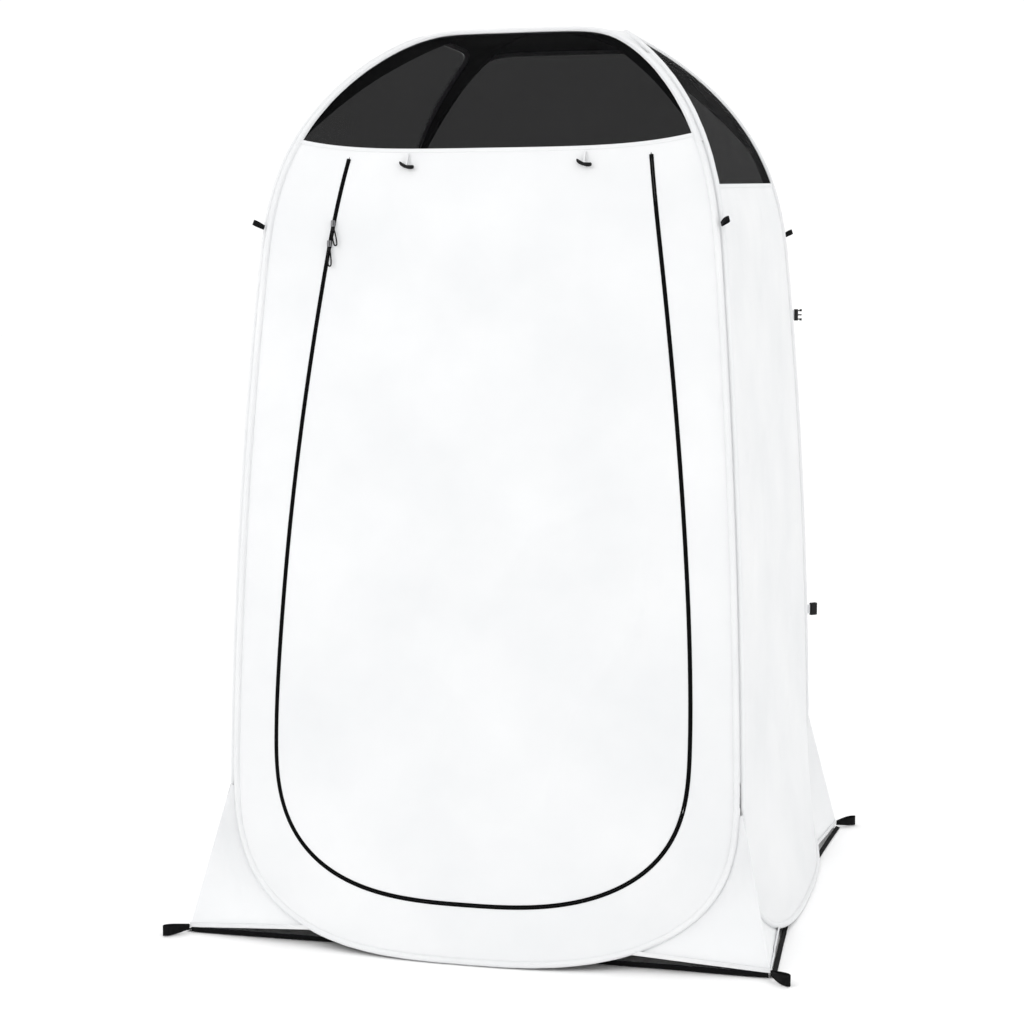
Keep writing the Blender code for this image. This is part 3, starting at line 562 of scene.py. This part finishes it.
FINISH = {
    "polyester": woven("polyester_white", (0.79, 0.80, 0.81), (0.86, 0.865, 0.87), 0.0007, 0.0006, 0.66),
    # The inner coating's near-black colour is painted shade: the tent's inside looks dark because it lies in
    # shadow behind the netting.
    "coating_painted_shade": woven("inner_coating_painted_shade", (0.010, 0.010, 0.011), (0.016, 0.016, 0.018), 0.0007, 0.0004, 0.55),
    "binding": woven("binding_white", (0.78, 0.79, 0.80), (0.85, 0.855, 0.86), 0.0010, 0.0008, 0.72),
    "thread": woven("thread_white", (0.70, 0.71, 0.72), (0.80, 0.80, 0.81), 0.0004, 0.0001, 0.6),
    "mesh": mesh_fabric(),
    "webbing": webbing("webbing_black", (0.0015, 0.0015, 0.0018), (0.0065, 0.0065, 0.0070), 0.8, 0.12),
    "white_webbing": webbing("webbing_white", (0.66, 0.67, 0.68), (0.83, 0.83, 0.84), 0.7),
    "zip": webbing("zip_tape_black", (0.0012, 0.0012, 0.0014), (0.0045, 0.0045, 0.0050), 0.8, 0.08),
    "coil": plastic("zip_coil_black", (0.0018, 0.0018, 0.0021), 0.5, gloss=0.10),
    "steel": metal("spring_steel", (0.42, 0.43, 0.45), (0.60, 0.61, 0.63), 0.34),
    "slider": metal("slider_metal", (0.11, 0.11, 0.115), (0.20, 0.20, 0.205), 0.34),
    "cord": plastic("pull_cord", (0.0022, 0.0022, 0.0025), 0.6, 500.0, 0.12),
    "toggle": plastic("toggle_plastic", (0.0022, 0.0022, 0.0025), 0.45, gloss=0.15),
    "buckle": plastic("buckle_plastic", (0.0025, 0.0025, 0.0028), 0.42, gloss=0.2),
}


def stands_for(obj, nodes, body="shelter"):
    """The bookkeeping of a piece: what it replaces, and the body it rides on."""
    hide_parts(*nodes)
    if body:
        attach(obj, body)
    return obj


# Hoops and their sleeves.

WIRE_SIDES, SLEEVE_SIDES = 8, 16
SLEEVE_OPEN = 0.26  # half the angle of the tube's gap, where the fabric goes in
FLANGE = 0.0070  # how far the sleeve's stitched edge reaches in over the fabric
STITCH_IN, STITCH_LIFT = 0.0005, 0.0015  # from the sleeve's edge, and from the fabric's middle
GATHER, TUBE_PUCKER, EDGE_PUCKER = 0.00045, 0.00030, 0.00022  # unevenness of the sewn sleeve
STITCH, STITCH_STEP = (0.0024, 0.0006, 0.0004), 0.0040  # (along, across, high), and from one to the next


def sleeve_outline():
    """(sideways, lift) of the sleeve: a tube round the wire, and two layers that hold the fabric's edge."""
    angles = np.linspace(SLEEVE_OPEN, 2 * math.pi - SLEEVE_OPEN, SLEEVE_SIDES)
    tube = [(SLEEVE_R * math.cos(a), SLEEVE_R * math.sin(a)) for a in angles]
    top = [(FLANGE, 0.0010), (FLANGE - 0.0004, 0.0014), (FLANGE * 0.72, 0.0017)]
    return top + tube + [(s, -h) for s, h in reversed(top)]


def hoop_pieces(index, side):
    line = hoop_line(side)
    frames = path_frames(side, line, True, eased=False)
    wire = Piece(f"wire_{side}")
    angles = np.linspace(0, 2 * math.pi, WIRE_SIDES, endpoint=False)
    around = [(WIRE_R * math.cos(a), WIRE_R * math.sin(a)) for a in angles]
    ribbon(wire, frames, around, "steel", True)
    stands_for(wire.make(index), [f"hoop_{side}"])

    sleeve, outline = Piece(f"piping_{side}"), sleeve_outline()
    points, normals, lateral = frames
    rows = np.stack([points + s * lateral + h * normals for s, h in outline], axis=1)
    for i, row in enumerate(rows):
        for j, (s, h) in enumerate(outline):
            gather = noise.noise(Vector((i * 0.23, j * 0.35, index * 7.0)))
            pucker = noise.noise(Vector((i * 0.75, j * 0.2, index * 7.0 + 3)))
            on_tube = math.hypot(s, h) < SLEEVE_R * 1.2
            swell = GATHER * gather + (TUBE_PUCKER if on_tube else EDGE_PUCKER) * pucker
            row[j] += swell * (lateral[i] * s + normals[i] * h) / max(math.hypot(s, h), 1e-6)
    loft(sleeve, rows, "binding", True)
    stitched = path_frames(side, hoop_line(side, STITCH_STEP), True, eased=False)
    for lift in (STITCH_LIFT, -STITCH_LIFT):
        ticks(sleeve, stitched, STITCH, FLANGE - STITCH_IN, lift, "thread")
    stands_for(sleeve.make(index), [f"sleeve_{side}"])


# Name, distance in from the walls' planes, half the width and finish of each corner tape.
CORNER_TAPES = (("seam", 0.0058, 0.005, "binding"), ("inner_seam", 0.0105, 0.012, "webbing"))


def corner_tapes(index, corner):
    """The tapes sewn along a corner seam: white between the two sleeves, and black inside."""
    z = np.concatenate([np.linspace(0.36, 1.2, 40), np.linspace(1.21, 1.79, 80)])
    lateral = np.tile([math.sqrt(0.5), math.sqrt(0.5), 0.0], (len(z), 1))
    for name, set_in, half, finish in CORNER_TAPES:
        out = wall_half(z) - set_in
        points = np.column_stack([out, -out, z])
        run = unit(np.gradient(points, axis=0))
        tape = Piece(f"{name}_tape_{corner}")
        outline = [(-half, 0.0), (0.0, 0.0012), (half, 0.0), (half, -0.0006), (-half, -0.0006)]
        ribbon(tape, (points, np.cross(run, lateral), lateral), outline, finish)
        obj = tape.make(index)
        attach(obj, "shelter")


# Windows, walls and the front panel.

EDGE_IN = 0.0045  # the cloth's edge lies this far inside the hoop's line, between the sleeve's two layers


def within(side):
    return lambda flat: inside_hoop(side, flat) - EDGE_IN


def over_window_line(side):
    return lambda flat: flat[:, 1] - window_line(side, flat[:, 0])


def under_window_line(side):
    return lambda flat: window_line(side, flat[:, 0]) - flat[:, 1]


def window_piece(index, side, step):
    piece = Piece(f"mesh_window_{side}")
    cloth_mesh(piece, side, step, [within(side), over_window_line(side)], "mesh")
    obj = piece.make(index, recalc=False)
    stands_for(obj, [f"window_{side}"])


HEM_HALF = 0.0042
HEM_STITCH = 0.0029  # from the hem's middle to each row of stitches


def window_hem(index, side):
    """The white binding along the window's lower edge."""
    ends = []
    for way in (-1, 1):
        x = way * 0.4
        for _ in range(6):
            x = way * (float(hoop_half(side, window_line(side, x))) - SLEEVE_R)
        ends.append(x)
    xs = np.linspace(*ends, 240)
    line = np.column_stack([xs, window_line(side, xs)])
    hem = Piece(f"window_hem_{side}")
    outline = [(-HEM_HALF, 0.0002), (-HEM_HALF, 0.0009), (0, 0.0013), (HEM_HALF, 0.0009), (HEM_HALF, 0.0002)]
    back = [(s, -h - CLOTH) for s, h in reversed(outline)]
    frames = path_frames(side, line)
    ribbon(hem, frames, outline + back, "binding")
    fine = path_frames(side, evenly(line, STITCH_STEP))
    for reach in (-HEM_STITCH, HEM_STITCH):
        ticks(hem, fine, STITCH, reach, 0.0012, "thread")
    obj = hem.make(index)
    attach(obj, "shelter")


def wall_piece(index, side):
    piece = Piece(f"wall_cloth_{side}")
    cloth_mesh(piece, side, COARSE, [within(side), under_window_line(side)], "polyester")
    obj = two_layers(piece.make(index, recalc=False))
    stands_for(obj, [f"wall_{side}"])


def round_door(flat):
    """Above zero on the fixed front cloth: outside the zip's tapes, and above their tops outside its line."""
    out = outside_zip(flat)
    return np.maximum(out - TAPE, np.minimum(out, flat[:, 1] - ZIP_TOP_Z))


def in_door(flat):
    """Above zero on the door's cloth: inside the zip's tapes, and above their tops inside its line."""
    out = outside_zip(flat)
    return np.maximum(-out - TAPE, np.minimum(-out, flat[:, 1] - ZIP_TOP_Z))


def door_blend(obj, upper):
    """Bakes the cloth's placement into its mesh; the upper and the lower cloth are treated alike."""
    if upper:
        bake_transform(obj)
    else:
        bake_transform(obj)


def front_cloth():
    panel = Piece("front_cloth")
    cloth_mesh(panel, "front", FINE, [within("front"), under_window_line("front"), round_door], "polyester")
    obj = two_layers(panel.make(recalc=False))
    stands_for(obj, ["front_surround"])
    halves = (("door_cloth_upper", True, "door_upper"), ("door_cloth_lower", False, "door_lower"))
    for name, upper, node in halves:
        way = 1 if upper else -1
        tests = [under_window_line("front"), in_door, lambda p, way=way: way * (p[:, 1] - SPLIT_Z)]
        panel = Piece(name)
        cloth_mesh(panel, "front", FINE, tests, "polyester")
        obj = two_layers(panel.make(recalc=False))
        stands_for(obj, [node], None)
        door_blend(obj, upper)


# The zip.

TOOTH_STEP, TOOTH_LONG, TOOTH_HIGH = 0.0017, 0.0011, 0.0012
TOOTH_SLANT, TOOTH_LIFT = 0.16, 0.0011
TAPE_GAP, TAPE_LOW, TAPE_HIGH = 0.0003, -0.0008, 0.0006  # half the gap between the tapes, and their two faces
TAPE_STITCH = (0.0026, 0.0005, 0.0003)
STOP_FALL, STOP_RISE = 0.005, 0.002  # how far a zip's end reaches below and above its top


def zip_strip(piece, line, way):
    """One tape with its teeth; way is 1 on the door's side of the zip and -1 on the tent's."""
    frames = path_frames("front", evenly(line, 0.004))
    edge, base = way * TAPE_GAP, way * TAPE
    outline = [(edge, TAPE_LOW), (base, TAPE_LOW), (base, TAPE_HIGH), (edge, TAPE_HIGH)]
    ribbon(piece, frames, outline, "zip")
    teeth = path_frames("front", evenly(line, TOOTH_STEP))
    size, sideways = (TOOTH_LONG, TOOTH, TOOTH_HIGH), way * (0.0002 + TOOTH / 2)
    ticks(piece, teeth, size, sideways, TOOTH_LIFT, "coil", slant=TOOTH_SLANT * way)
    fine = path_frames("front", evenly(line, STITCH_STEP))
    ticks(piece, fine, TAPE_STITCH, way * (TAPE - 0.0012), 0.0007, "coil")


def zip_pieces():
    line = zip_line(ZIP_TOP_Z)
    tent_side = Piece("zip_tent_side")
    zip_strip(tent_side, line, -1)
    stands_for(tent_side.make(), ["zip_tape_frame"])

    upper = Piece("zip_door_side_upper")
    high = line[line[:, 1] > SPLIT_Z]
    for way in (-1, 1):
        zip_strip(upper, high[way * high[:, 0] > 0], 1)
    obj = stands_for(upper.make(), ["zip_tape_door_left", "zip_tape_door_right"], None)
    door_blend(obj, True)
    lower = Piece("zip_door_side_lower")
    zip_strip(lower, line[line[:, 1] <= SPLIT_Z], 1)
    obj = stands_for(lower.make(), ["zip_tape_door_lower"], None)
    door_blend(obj, False)

    for name, end in (("left", 0), ("right", -1)):
        stop = Piece(f"zip_stop_{name}")
        z = ZIP_TOP_Z + np.linspace(-STOP_FALL, STOP_RISE, 5)
        x = np.sign(line[end, 0]) * door_half(z) + door_lean(z)
        frames = path_frames("front", np.column_stack([x, z]))
        outline = [(-0.0043, 0.0004), (-0.0039, 0.0019), (0.0039, 0.0019), (0.0043, 0.0004)]
        ribbon(stop, frames, outline, "zip")
        ticks(stop, frames, (0.0016, 0.0070, 0.0004), 0, 0.0022, "coil", every=2)
        stands_for(stop.make(), [f"zip_end_{name}"])


# Narrow webbing: ground straps, stake and guy loops. At the sides the straps pass inside the hoops' feet.

STRAP_WIDE, STRAP_THICK = 0.0100, 0.0012
STRAP_BOW = paired(0.004, 0.032)  # how far its middle bows in
STRAP_POWER = paired(2, 1.1)  # the bow's shape from end to end
STRAP_OUT = paired(0.0, 0.004)  # how far its ends stand out
STRAP_TILT = paired(90, 20)  # degrees: on edge, or nearly flat
STRAP_SWAY, STRAP_TWIST = 0.0012, 0.16  # how unevenly it lies
BAND_HALF = ((-1, -0.4), (-0.94, -1), (0, -0.85), (0.94, -1), (1, -0.4))  # half of a flat strip's section


def band(piece, path, widths, thickness, across, finish, closed=False):
    """A flat strip with rounded edges along a path; across gives the direction of its width at each point."""
    path, across = np.asarray(path, float), np.asarray(across, float)
    run = directions(path, closed)
    wide = unit(across - run * (across * run).sum(1)[:, None])
    thick = np.cross(run, wide)
    half = np.asarray(widths)[:, None] / 2
    t = thickness / 2
    rows = []
    for s, h in BAND_HALF + tuple((-s, -h) for s, h in BAND_HALF):
        rows.append(path + s * half * wide + h * t * thick)
    loft(piece, np.stack(rows, axis=1), finish, closed)


def ground_strap(index, side):
    """Runs along the ground from corner to corner."""
    share = np.linspace(-1, 1, 181)
    reach = FOOT_HALF - STRAP_WIDE / 2
    sway = np.array([noise.noise(Vector((3.1 * s, index * 4.0, 0))) for s in share])
    bow = STRAP_BOW[side] * (1 - np.abs(share) ** STRAP_POWER[side])
    out = -FOOT_HALF - STRAP_OUT[side] + bow + STRAP_SWAY * sway
    tilt = math.radians(STRAP_TILT[side]) + STRAP_TWIST * sway
    height = STRAP_WIDE / 2 * np.sin(tilt) + 0.0008 + 0.0005 * (1 + sway)
    path = np.column_stack([share * reach, out, height])
    lean = np.column_stack([np.zeros(len(share)), np.cos(tilt), np.sin(tilt)])
    strap = Piece(f"floor_strap_{side}")
    band(strap, path, np.full(len(share), STRAP_WIDE), STRAP_THICK, lean, "webbing")
    stands_for(strap.make(index), [f"ground_strap_{side}"])


STAKE_GAP, STAKE_Z = 0.001, 0.0116  # where a stake loop starts, outside the foot's corner
GUY_GAP, GUY_Z, GUY_LIFT = 0.0010, 1.442, math.radians(24)


def webbing_loop(piece, start, outward, length, narrow, wide, opening, thickness, finish):
    """A folded strip of webbing standing on edge: pinched at its start, wide and open at its fold."""
    up = (AXIS_Z - outward * AXIS_Z.dot(outward)).normalized()
    aside = up.cross(outward).normalized()
    shares = np.linspace(0, 1, 22)
    spread = 0.5 * np.sin(np.pi * np.clip((shares - 0.04) / 0.96, 0, 1) ** 1.7) ** 0.62 + 0.11 * (1 - shares)
    profile = list(zip(shares, spread))
    around = profile + [(s, -w) for s, w in reversed(profile[:-1])]
    path = [start + outward * s * length + aside * w * opening for s, w in around]
    widths = [narrow + (wide - narrow) * s for s, _ in around]
    band(piece, path, widths, thickness, [up] * len(path), finish, closed=True)


def corner_loops(index, corner):
    diagonal = (Matrix.Rotation(index * math.pi / 2, 3, "Z") @ Vector((1, -1, 0))).normalized()
    start = diagonal * (FOOT_HALF * math.sqrt(2) + STAKE_GAP) + AXIS_Z * STAKE_Z
    loop = Piece(f"stake_webbing_{corner}")
    webbing_loop(loop, start, diagonal, 0.057, 0.011, 0.022, 0.016, 0.0013, "webbing")
    stands_for(loop.make(), [f"stake_loop_{corner}"], f"stake_loop_{corner}")
    start = diagonal * ((float(wall_half(GUY_Z)) + GUY_GAP) * math.sqrt(2)) + AXIS_Z * GUY_Z
    lifted = diagonal * math.cos(GUY_LIFT) + AXIS_Z * math.sin(GUY_LIFT)
    loop = Piece(f"guy_webbing_{corner}")
    webbing_loop(loop, start, lifted, 0.0255, 0.0095, 0.0105, 0.0085, 0.0011, "webbing")
    stands_for(loop.make(), [f"guy_loop_{corner}"], f"guy_loop_{corner}")


# Corner gussets and the roof patch.

GUSSET_TOP, GUSSET_REACH, GUSSET_HEM = 0.300, 0.325, 0.0110
GUSSET_TUCK = 0.0050  # how far the gusset's edge reaches in under the sleeve's outer side
GUSSET_STEPS, GUSSET_COLUMNS = 48, 24
GUSSET_SAG, GUSSET_CREASE = 0.010, 0.0016
GUSSET_BAND = (0.009, 0.0022, 0.004)  # width and thickness of its hem, and how far up the edge its middle is
INWARD = np.array([1.0, 1.0, 0.0]) / math.sqrt(2)  # from the front left corner to the axis
GUSSET_SIDES = {"front_left": ("front", "left"), "front_right": ("right", "front"),
                "back_right": ("back", "right"), "back_left": ("left", "back")}


def foot_edge(side, steps):
    """Points down the left lower run of a side's hoop, where the gusset is sewn to the sleeve."""
    points, _, lateral = path_frames(side, hoop_line(side), True, eased=False)
    edge = points - lateral * GUSSET_TUCK
    run = edge[(edge[:, 0] < -GUSSET_REACH) & (edge[:, 2] < GUSSET_TOP)]
    run = evenly(run[np.argsort(-run[:, 2])], 0.002)
    return run[np.linspace(0, len(run) - 1, steps).astype(int)]


def gusset(index, corner):
    """The front left pattern turned to its corner; the left hoop's edge is the mirror of its right foot."""
    sides = GUSSET_SIDES[corner]
    one = foot_edge(sides[0], GUSSET_STEPS)
    mirrored = foot_edge(sides[1], GUSSET_STEPS) * (-1, 1, 1)
    other = np.column_stack([mirrored[:, 1], -mirrored[:, 0], mirrored[:, 2]])
    top = float(wall_half(GUSSET_TOP)) + 0.002
    rows = []
    for k in range(GUSSET_STEPS):
        share = k / (GUSSET_STEPS - 1)
        z = GUSSET_TOP + (GUSSET_HEM - GUSSET_TOP) * share
        out = top + (FOOT_HALF - 0.001 - top) * share
        ridge = np.array([-out, -out, z])
        sag = GUSSET_SAG * math.sin(math.pi * min(share * 1.1, 1)) * share
        row = []
        for t in np.linspace(-1, 1, 2 * GUSSET_COLUMNS + 1):
            base = one[k] if t < 0 else other[k]
            point = ridge + (base - ridge) * abs(t)
            free = math.sin(math.pi * abs(t))
            crease = GUSSET_CREASE * noise.noise(Vector((9 * t, 4.5 * share, index * 3.0))) * free
            row.append(point + INWARD * (sag * free + crease))
        rows.append(row)
    piece = Piece(f"gusset_cloth_{corner}")
    loft(piece, rows, "polyester", outline_closed=False)
    obj = piece.make(index, recalc=False)
    middle = obj.data.polygons[len(obj.data.polygons) // 2]
    if middle.normal.dot(Vector((middle.center.x, middle.center.y, 0))) < 0:
        obj.data.flip_normals()
    two_layers(obj)
    stands_for(obj, [f"gusset_{corner}"])

    hem = Piece(f"gusset_hem_{corner}")
    edge = np.array(rows[-1])
    across = np.tile([0.0, 0.0, 1.0], (len(edge), 1))
    wide, thick, rise = GUSSET_BAND
    band(hem, edge + np.array([0, 0, rise]), np.full(len(edge), wide), thick, across, "binding")
    obj = hem.make(index)
    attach(obj, "shelter")


ROOF_MARGIN, ROOF_CORNER = 0.0045, 0.004  # how far inside the sleeves and the corner seams its rim is
ROOF_LOW_Z = 1.6  # below every point of its rim
ROOF_RINGS, ROOF_RUMPLE = 26, 0.0025


def roof_patch():
    """One cloth over the top, from its crown out to all four hoops."""
    points, _, lateral = path_frames("front", hoop_line("front"), True, eased=False)
    edge = points - lateral * ROOF_MARGIN
    keep = (np.abs(edge[:, 0]) < -edge[:, 1] - ROOF_CORNER) & (edge[:, 2] > ROOF_LOW_Z)
    edge = edge[keep]
    edge = edge[np.argsort(edge[:, 0])]
    turn = np.array([[0, -1, 0], [1, 0, 0], [0, 0, 1]], float)
    rim = []
    for _ in range(4):
        rim.append(edge)
        edge = edge @ turn.T
    rim = np.vstack(rim)
    rows = []
    for ring in range(1, ROOF_RINGS + 1):
        share = ring / ROOF_RINGS
        row = rim * (share, share, 1)
        row[:, 2] = ROOF_CROWN - (ROOF_CROWN - rim[:, 2]) * share**2
        for point in row:
            point[2] += ROOF_RUMPLE * noise.noise(Vector((7 * point[0], 7 * point[1], 0))) * (1 - share**4)
        rows.append(row)
    piece = Piece("roof_cloth")
    count = len(rim)
    points = np.vstack([[[0, 0, ROOF_CROWN]], *rows])
    faces = [(0, 1 + k, 1 + (k + 1) % count) for k in range(count)]
    for ring in range(ROOF_RINGS - 1):
        a, b = 1 + ring * count, 1 + (ring + 1) * count
        faces += [(a + k, b + k, b + (k + 1) % count, a + (k + 1) % count) for k in range(count)]
    piece.add(points, faces, points[:, :2], "polyester")
    obj = piece.make(recalc=False)
    if obj.data.polygons[0].normal.z < 0:
        obj.data.flip_normals()
    two_layers(obj)
    stands_for(obj, ["roof_patch"])


# Toggles, pulls and buckles.

TOGGLE_X, TOGGLE_Z, TOGGLE_LOOP_TOP = (-0.1715, 0.1925), 1.559, 1.586
TOGGLE_LENGTH, TOGGLE_R, LOOP_WIDE, LOOP_THICK = 0.034, 0.0043, 0.0034, 0.0010
TOGGLE_BEND, TOGGLE_TILT = 0.0046, math.radians(18)  # how far a toggle's ends curve up, and how it hangs


LOOP_LIFT, TOGGLE_LIFT, LOOP_APART = 0.0024, 0.0083, 0.0026  # off the fabric, and between the loop's two ends
TOGGLE_WAIST = 0.16  # how much thinner a toggle is at its middle


def wall_point(x, z, lift):
    points, normals = surface("front", [(x, z)], eased=False)
    return Vector(points[0] + lift * normals[0])


def toggles():
    for name, x in zip(("left", "right"), TOGGLE_X):
        top = wall_point(x, TOGGLE_LOOP_TOP, LOOP_LIFT)
        bar = wall_point(x, TOGGLE_Z, TOGGLE_LIFT)
        down = (bar - top).normalized()
        out = down.cross(AXIS_X).normalized()
        out = -out if out.y > 0 else out
        bore = TOGGLE_R * 0.45
        angles = [math.pi * k / 12 for k in range(13)]
        path = [top.lerp(bar - out * bore, t) for t in (0, 0.25, 0.5, 0.75)]
        path += [bar - out * bore * math.cos(a) + down * bore * math.sin(a) for a in angles]
        path += [path[-1].lerp(top + out * LOOP_APART, t) for t in (0.25, 0.5, 0.75, 1.0)]
        loop = Piece(f"toggle_tape_{name}")
        count = len(path)
        band(loop, path, [LOOP_WIDE] * count, LOOP_THICK, [AXIS_X] * count, "white_webbing")
        stands_for(loop.make(), [f"toggle_loop_{name}"], f"toggle_{name}")

        horn, rows = Piece(f"toggle_bar_{name}"), []
        across = Vector((math.cos(TOGGLE_TILT), 0, 0)) + down * math.sin(TOGGLE_TILT)
        for share in (math.sin(math.pi * (k / 32 - 0.5)) for k in range(33)):
            waist = 1 - TOGGLE_WAIST * math.exp(-((share / 0.20) ** 2))
            tip = max(1 - abs(share) ** 12, 0.03) ** 0.5
            center = bar + across * share * TOGGLE_LENGTH / 2 - down * TOGGLE_BEND * share * share
            turns = [2 * math.pi * k / 16 for k in range(16)]
            radius = TOGGLE_R * waist * tip
            rows.append([center + radius * (math.cos(a) * out + 0.92 * math.sin(a) * down) for a in turns])
        loft(horn, rows, "toggle")
        stands_for(horn.make(), [f"toggle_{name}"], f"toggle_{name}")


PULLS = (("upper", 1.448, -13), ("lower", 1.408, -5))  # name, its slider's height, and degrees off plumb
FABRIC_HALF, SLIDER_LIFT = 0.0008, 0.0016  # half the CAD fabric's thickness, and a slider's clearance
SLIDER_OUT, SLIDER_HALF = 0.0050, 0.0077  # from there to a pull's middle, and how far below its slider's
PULL_LONG, PULL_HALF, PULL_R = 0.037, 0.0036, 0.0015


def pulls():
    """Each slider's pull: a stiff loop of cord, pinched by a crimp at its top."""
    for name, z, lean in PULLS:
        x = float(door_lean(z) - door_half(z))
        points, normals = surface("front", [(x, z)], eased=False)
        normal = Vector(normals[0])
        across = AXIS_Z.cross(normal).normalized()
        up = normal.cross(across)
        hinge = Vector(points[0]) + normal * (FABRIC_HALF + SLIDER_LIFT + SLIDER_OUT) - up * SLIDER_HALF
        turned = Matrix.Rotation(math.radians(lean), 3, -normal)
        side, down = turned @ across, turned @ -up
        angles = np.linspace(0, 2 * math.pi, 64, endpoint=False)
        rows = []
        for a in angles:
            pinch = 0.45 + 0.55 * min((1 - math.cos(a)) / 1.1, 1) ** 0.7
            along = PULL_LONG / 2 * (1 - math.copysign(abs(math.cos(a)) ** 0.62, math.cos(a)))
            swing = math.copysign(abs(math.sin(a)) ** 0.55, math.sin(a))
            rows.append(hinge + down * (0.001 + along) + side * PULL_HALF * pinch * swing)
        path = np.array(rows)
        flat = np.cross(directions(path, True), np.array(normal))
        rings = []
        for b in np.linspace(0, 2 * math.pi, 10, endpoint=False):
            rings.append(path + PULL_R * (math.cos(b) * flat + math.sin(b) * 0.8 * np.array(normal)))
        pull = Piece(f"pull_loop_{name}")
        loft(pull, np.stack(rings, axis=1), "cord", True)
        crimp = [hinge + down * d for d in (0.0015, 0.0025, 0.0065, 0.0075)]
        outline = [(math.cos(b), 0.62 * math.sin(b)) for b in np.linspace(0, 2 * math.pi, 12, endpoint=False)]
        rows = []
        for middle, wide in zip(crimp, (0.0024, 0.0030, 0.0030, 0.0024)):
            rows.append([middle + side * wide * u + normal * wide * v for u, v in outline])
        loft(pull, rows, "toggle")
        stands_for(pull.make(), [f"zip_pull_{name}"], f"zip_pull_{name}")


KEPT = {
    "slider": ["zip_slider_upper", "zip_slider_lower"],
    "buckle": ["buckle_plug", "buckle_socket"],
    "white_webbing": ["buckle_strap_upper", "buckle_strap_lower"],
    "steel": [f"ferrule_{side}" for side in SIDES],
}


def carried_over():
    """CAD nodes whose shape is right only get a finish."""
    for finish, names in KEPT.items():
        for name in names:
            mesh = NODES[name].data
            mesh.materials.clear()
            mesh.materials.append(FINISH[finish])


# The studio.

LENS, PITCH, AZIMUTH = 75.15, math.radians(5.94), math.radians(14.53)
DISTANCE, ASIDE, HEIGHT = 4.722, -0.0672, 1.3164
# Name, place, size and power of each lamp. All of them face the middle of the tent.
LAMPS = (
    ("key", (-3.0, -4.6, 3.6), 3.0, 66),
    ("fill", (4.6, -2.4, 2.4), 3.0, 24),
    ("rim", (1.5, 4.2, 3.6), 2.5, 20),
)
LAMPS_AT = Vector((0, 0, 0.9))
WORLD_STRENGTH = 1.05
FLOOR_R, FLOOR_Z = 60, -0.0008


def studio():
    bpy.ops.mesh.primitive_circle_add(
        vertices=128, radius=FLOOR_R, fill_type="NGON", location=(0, 0, FLOOR_Z)
    )
    floor = bpy.context.object
    floor.name = "studio_floor"
    made = Finish("studio_floor", 0.9)
    made.colour(made.noise(made.place(False), 0.6), (0.97, 0.97, 0.97), (0.98, 0.98, 0.98))
    floor.data.materials.append(made.material)

    world = bpy.data.worlds.new("studio")
    bpy.context.scene.world = world
    world.use_nodes = True
    background = world.node_tree.nodes["Background"]
    background.inputs["Color"].default_value = (1, 1, 1, 1)
    background.inputs["Strength"].default_value = WORLD_STRENGTH

    for name, place, size, power in LAMPS:
        light = bpy.data.lights.new(name, "AREA")
        light.energy, light.size = power, size
        obj = bpy.data.objects.new(name, light)
        obj.location = place
        obj.rotation_euler = (LAMPS_AT - Vector(place)).to_track_quat("-Z", "Y").to_euler()
        bpy.context.scene.collection.objects.link(obj)


def camera():
    data = bpy.data.cameras.new("camera")
    data.lens, data.sensor_width = LENS, 36
    obj = bpy.data.objects.new("camera", data)
    ahead = Vector((-math.sin(AZIMUTH), math.cos(AZIMUTH), 0))
    right = Vector((math.cos(AZIMUTH), math.sin(AZIMUTH), 0))
    obj.location = -ahead * DISTANCE + right * ASIDE + AXIS_Z * HEIGHT
    looking = ahead * math.cos(PITCH) - AXIS_Z * math.sin(PITCH)
    obj.rotation_euler = looking.to_track_quat("-Z", "Y").to_euler()
    bpy.context.scene.collection.objects.link(obj)
    bpy.context.scene.camera = obj


def build():
    for index, side in enumerate(SIDES):
        hoop_pieces(index, side)
        window_piece(index, side, FINE if side == "front" else COARSE)
        window_hem(index, side)
        if side != "front":
            wall_piece(index, side)
        ground_strap(index, side)
    front_cloth()
    zip_pieces()
    for index, corner in enumerate(CORNERS):
        corner_tapes(index, corner)
        gusset(index + 1, corner)
        corner_loops(index, corner)
    roof_patch()
    toggles()
    pulls()
    carried_over()
    studio()
    camera()


bpy.context.scene.view_settings.view_transform = "Standard"
build()
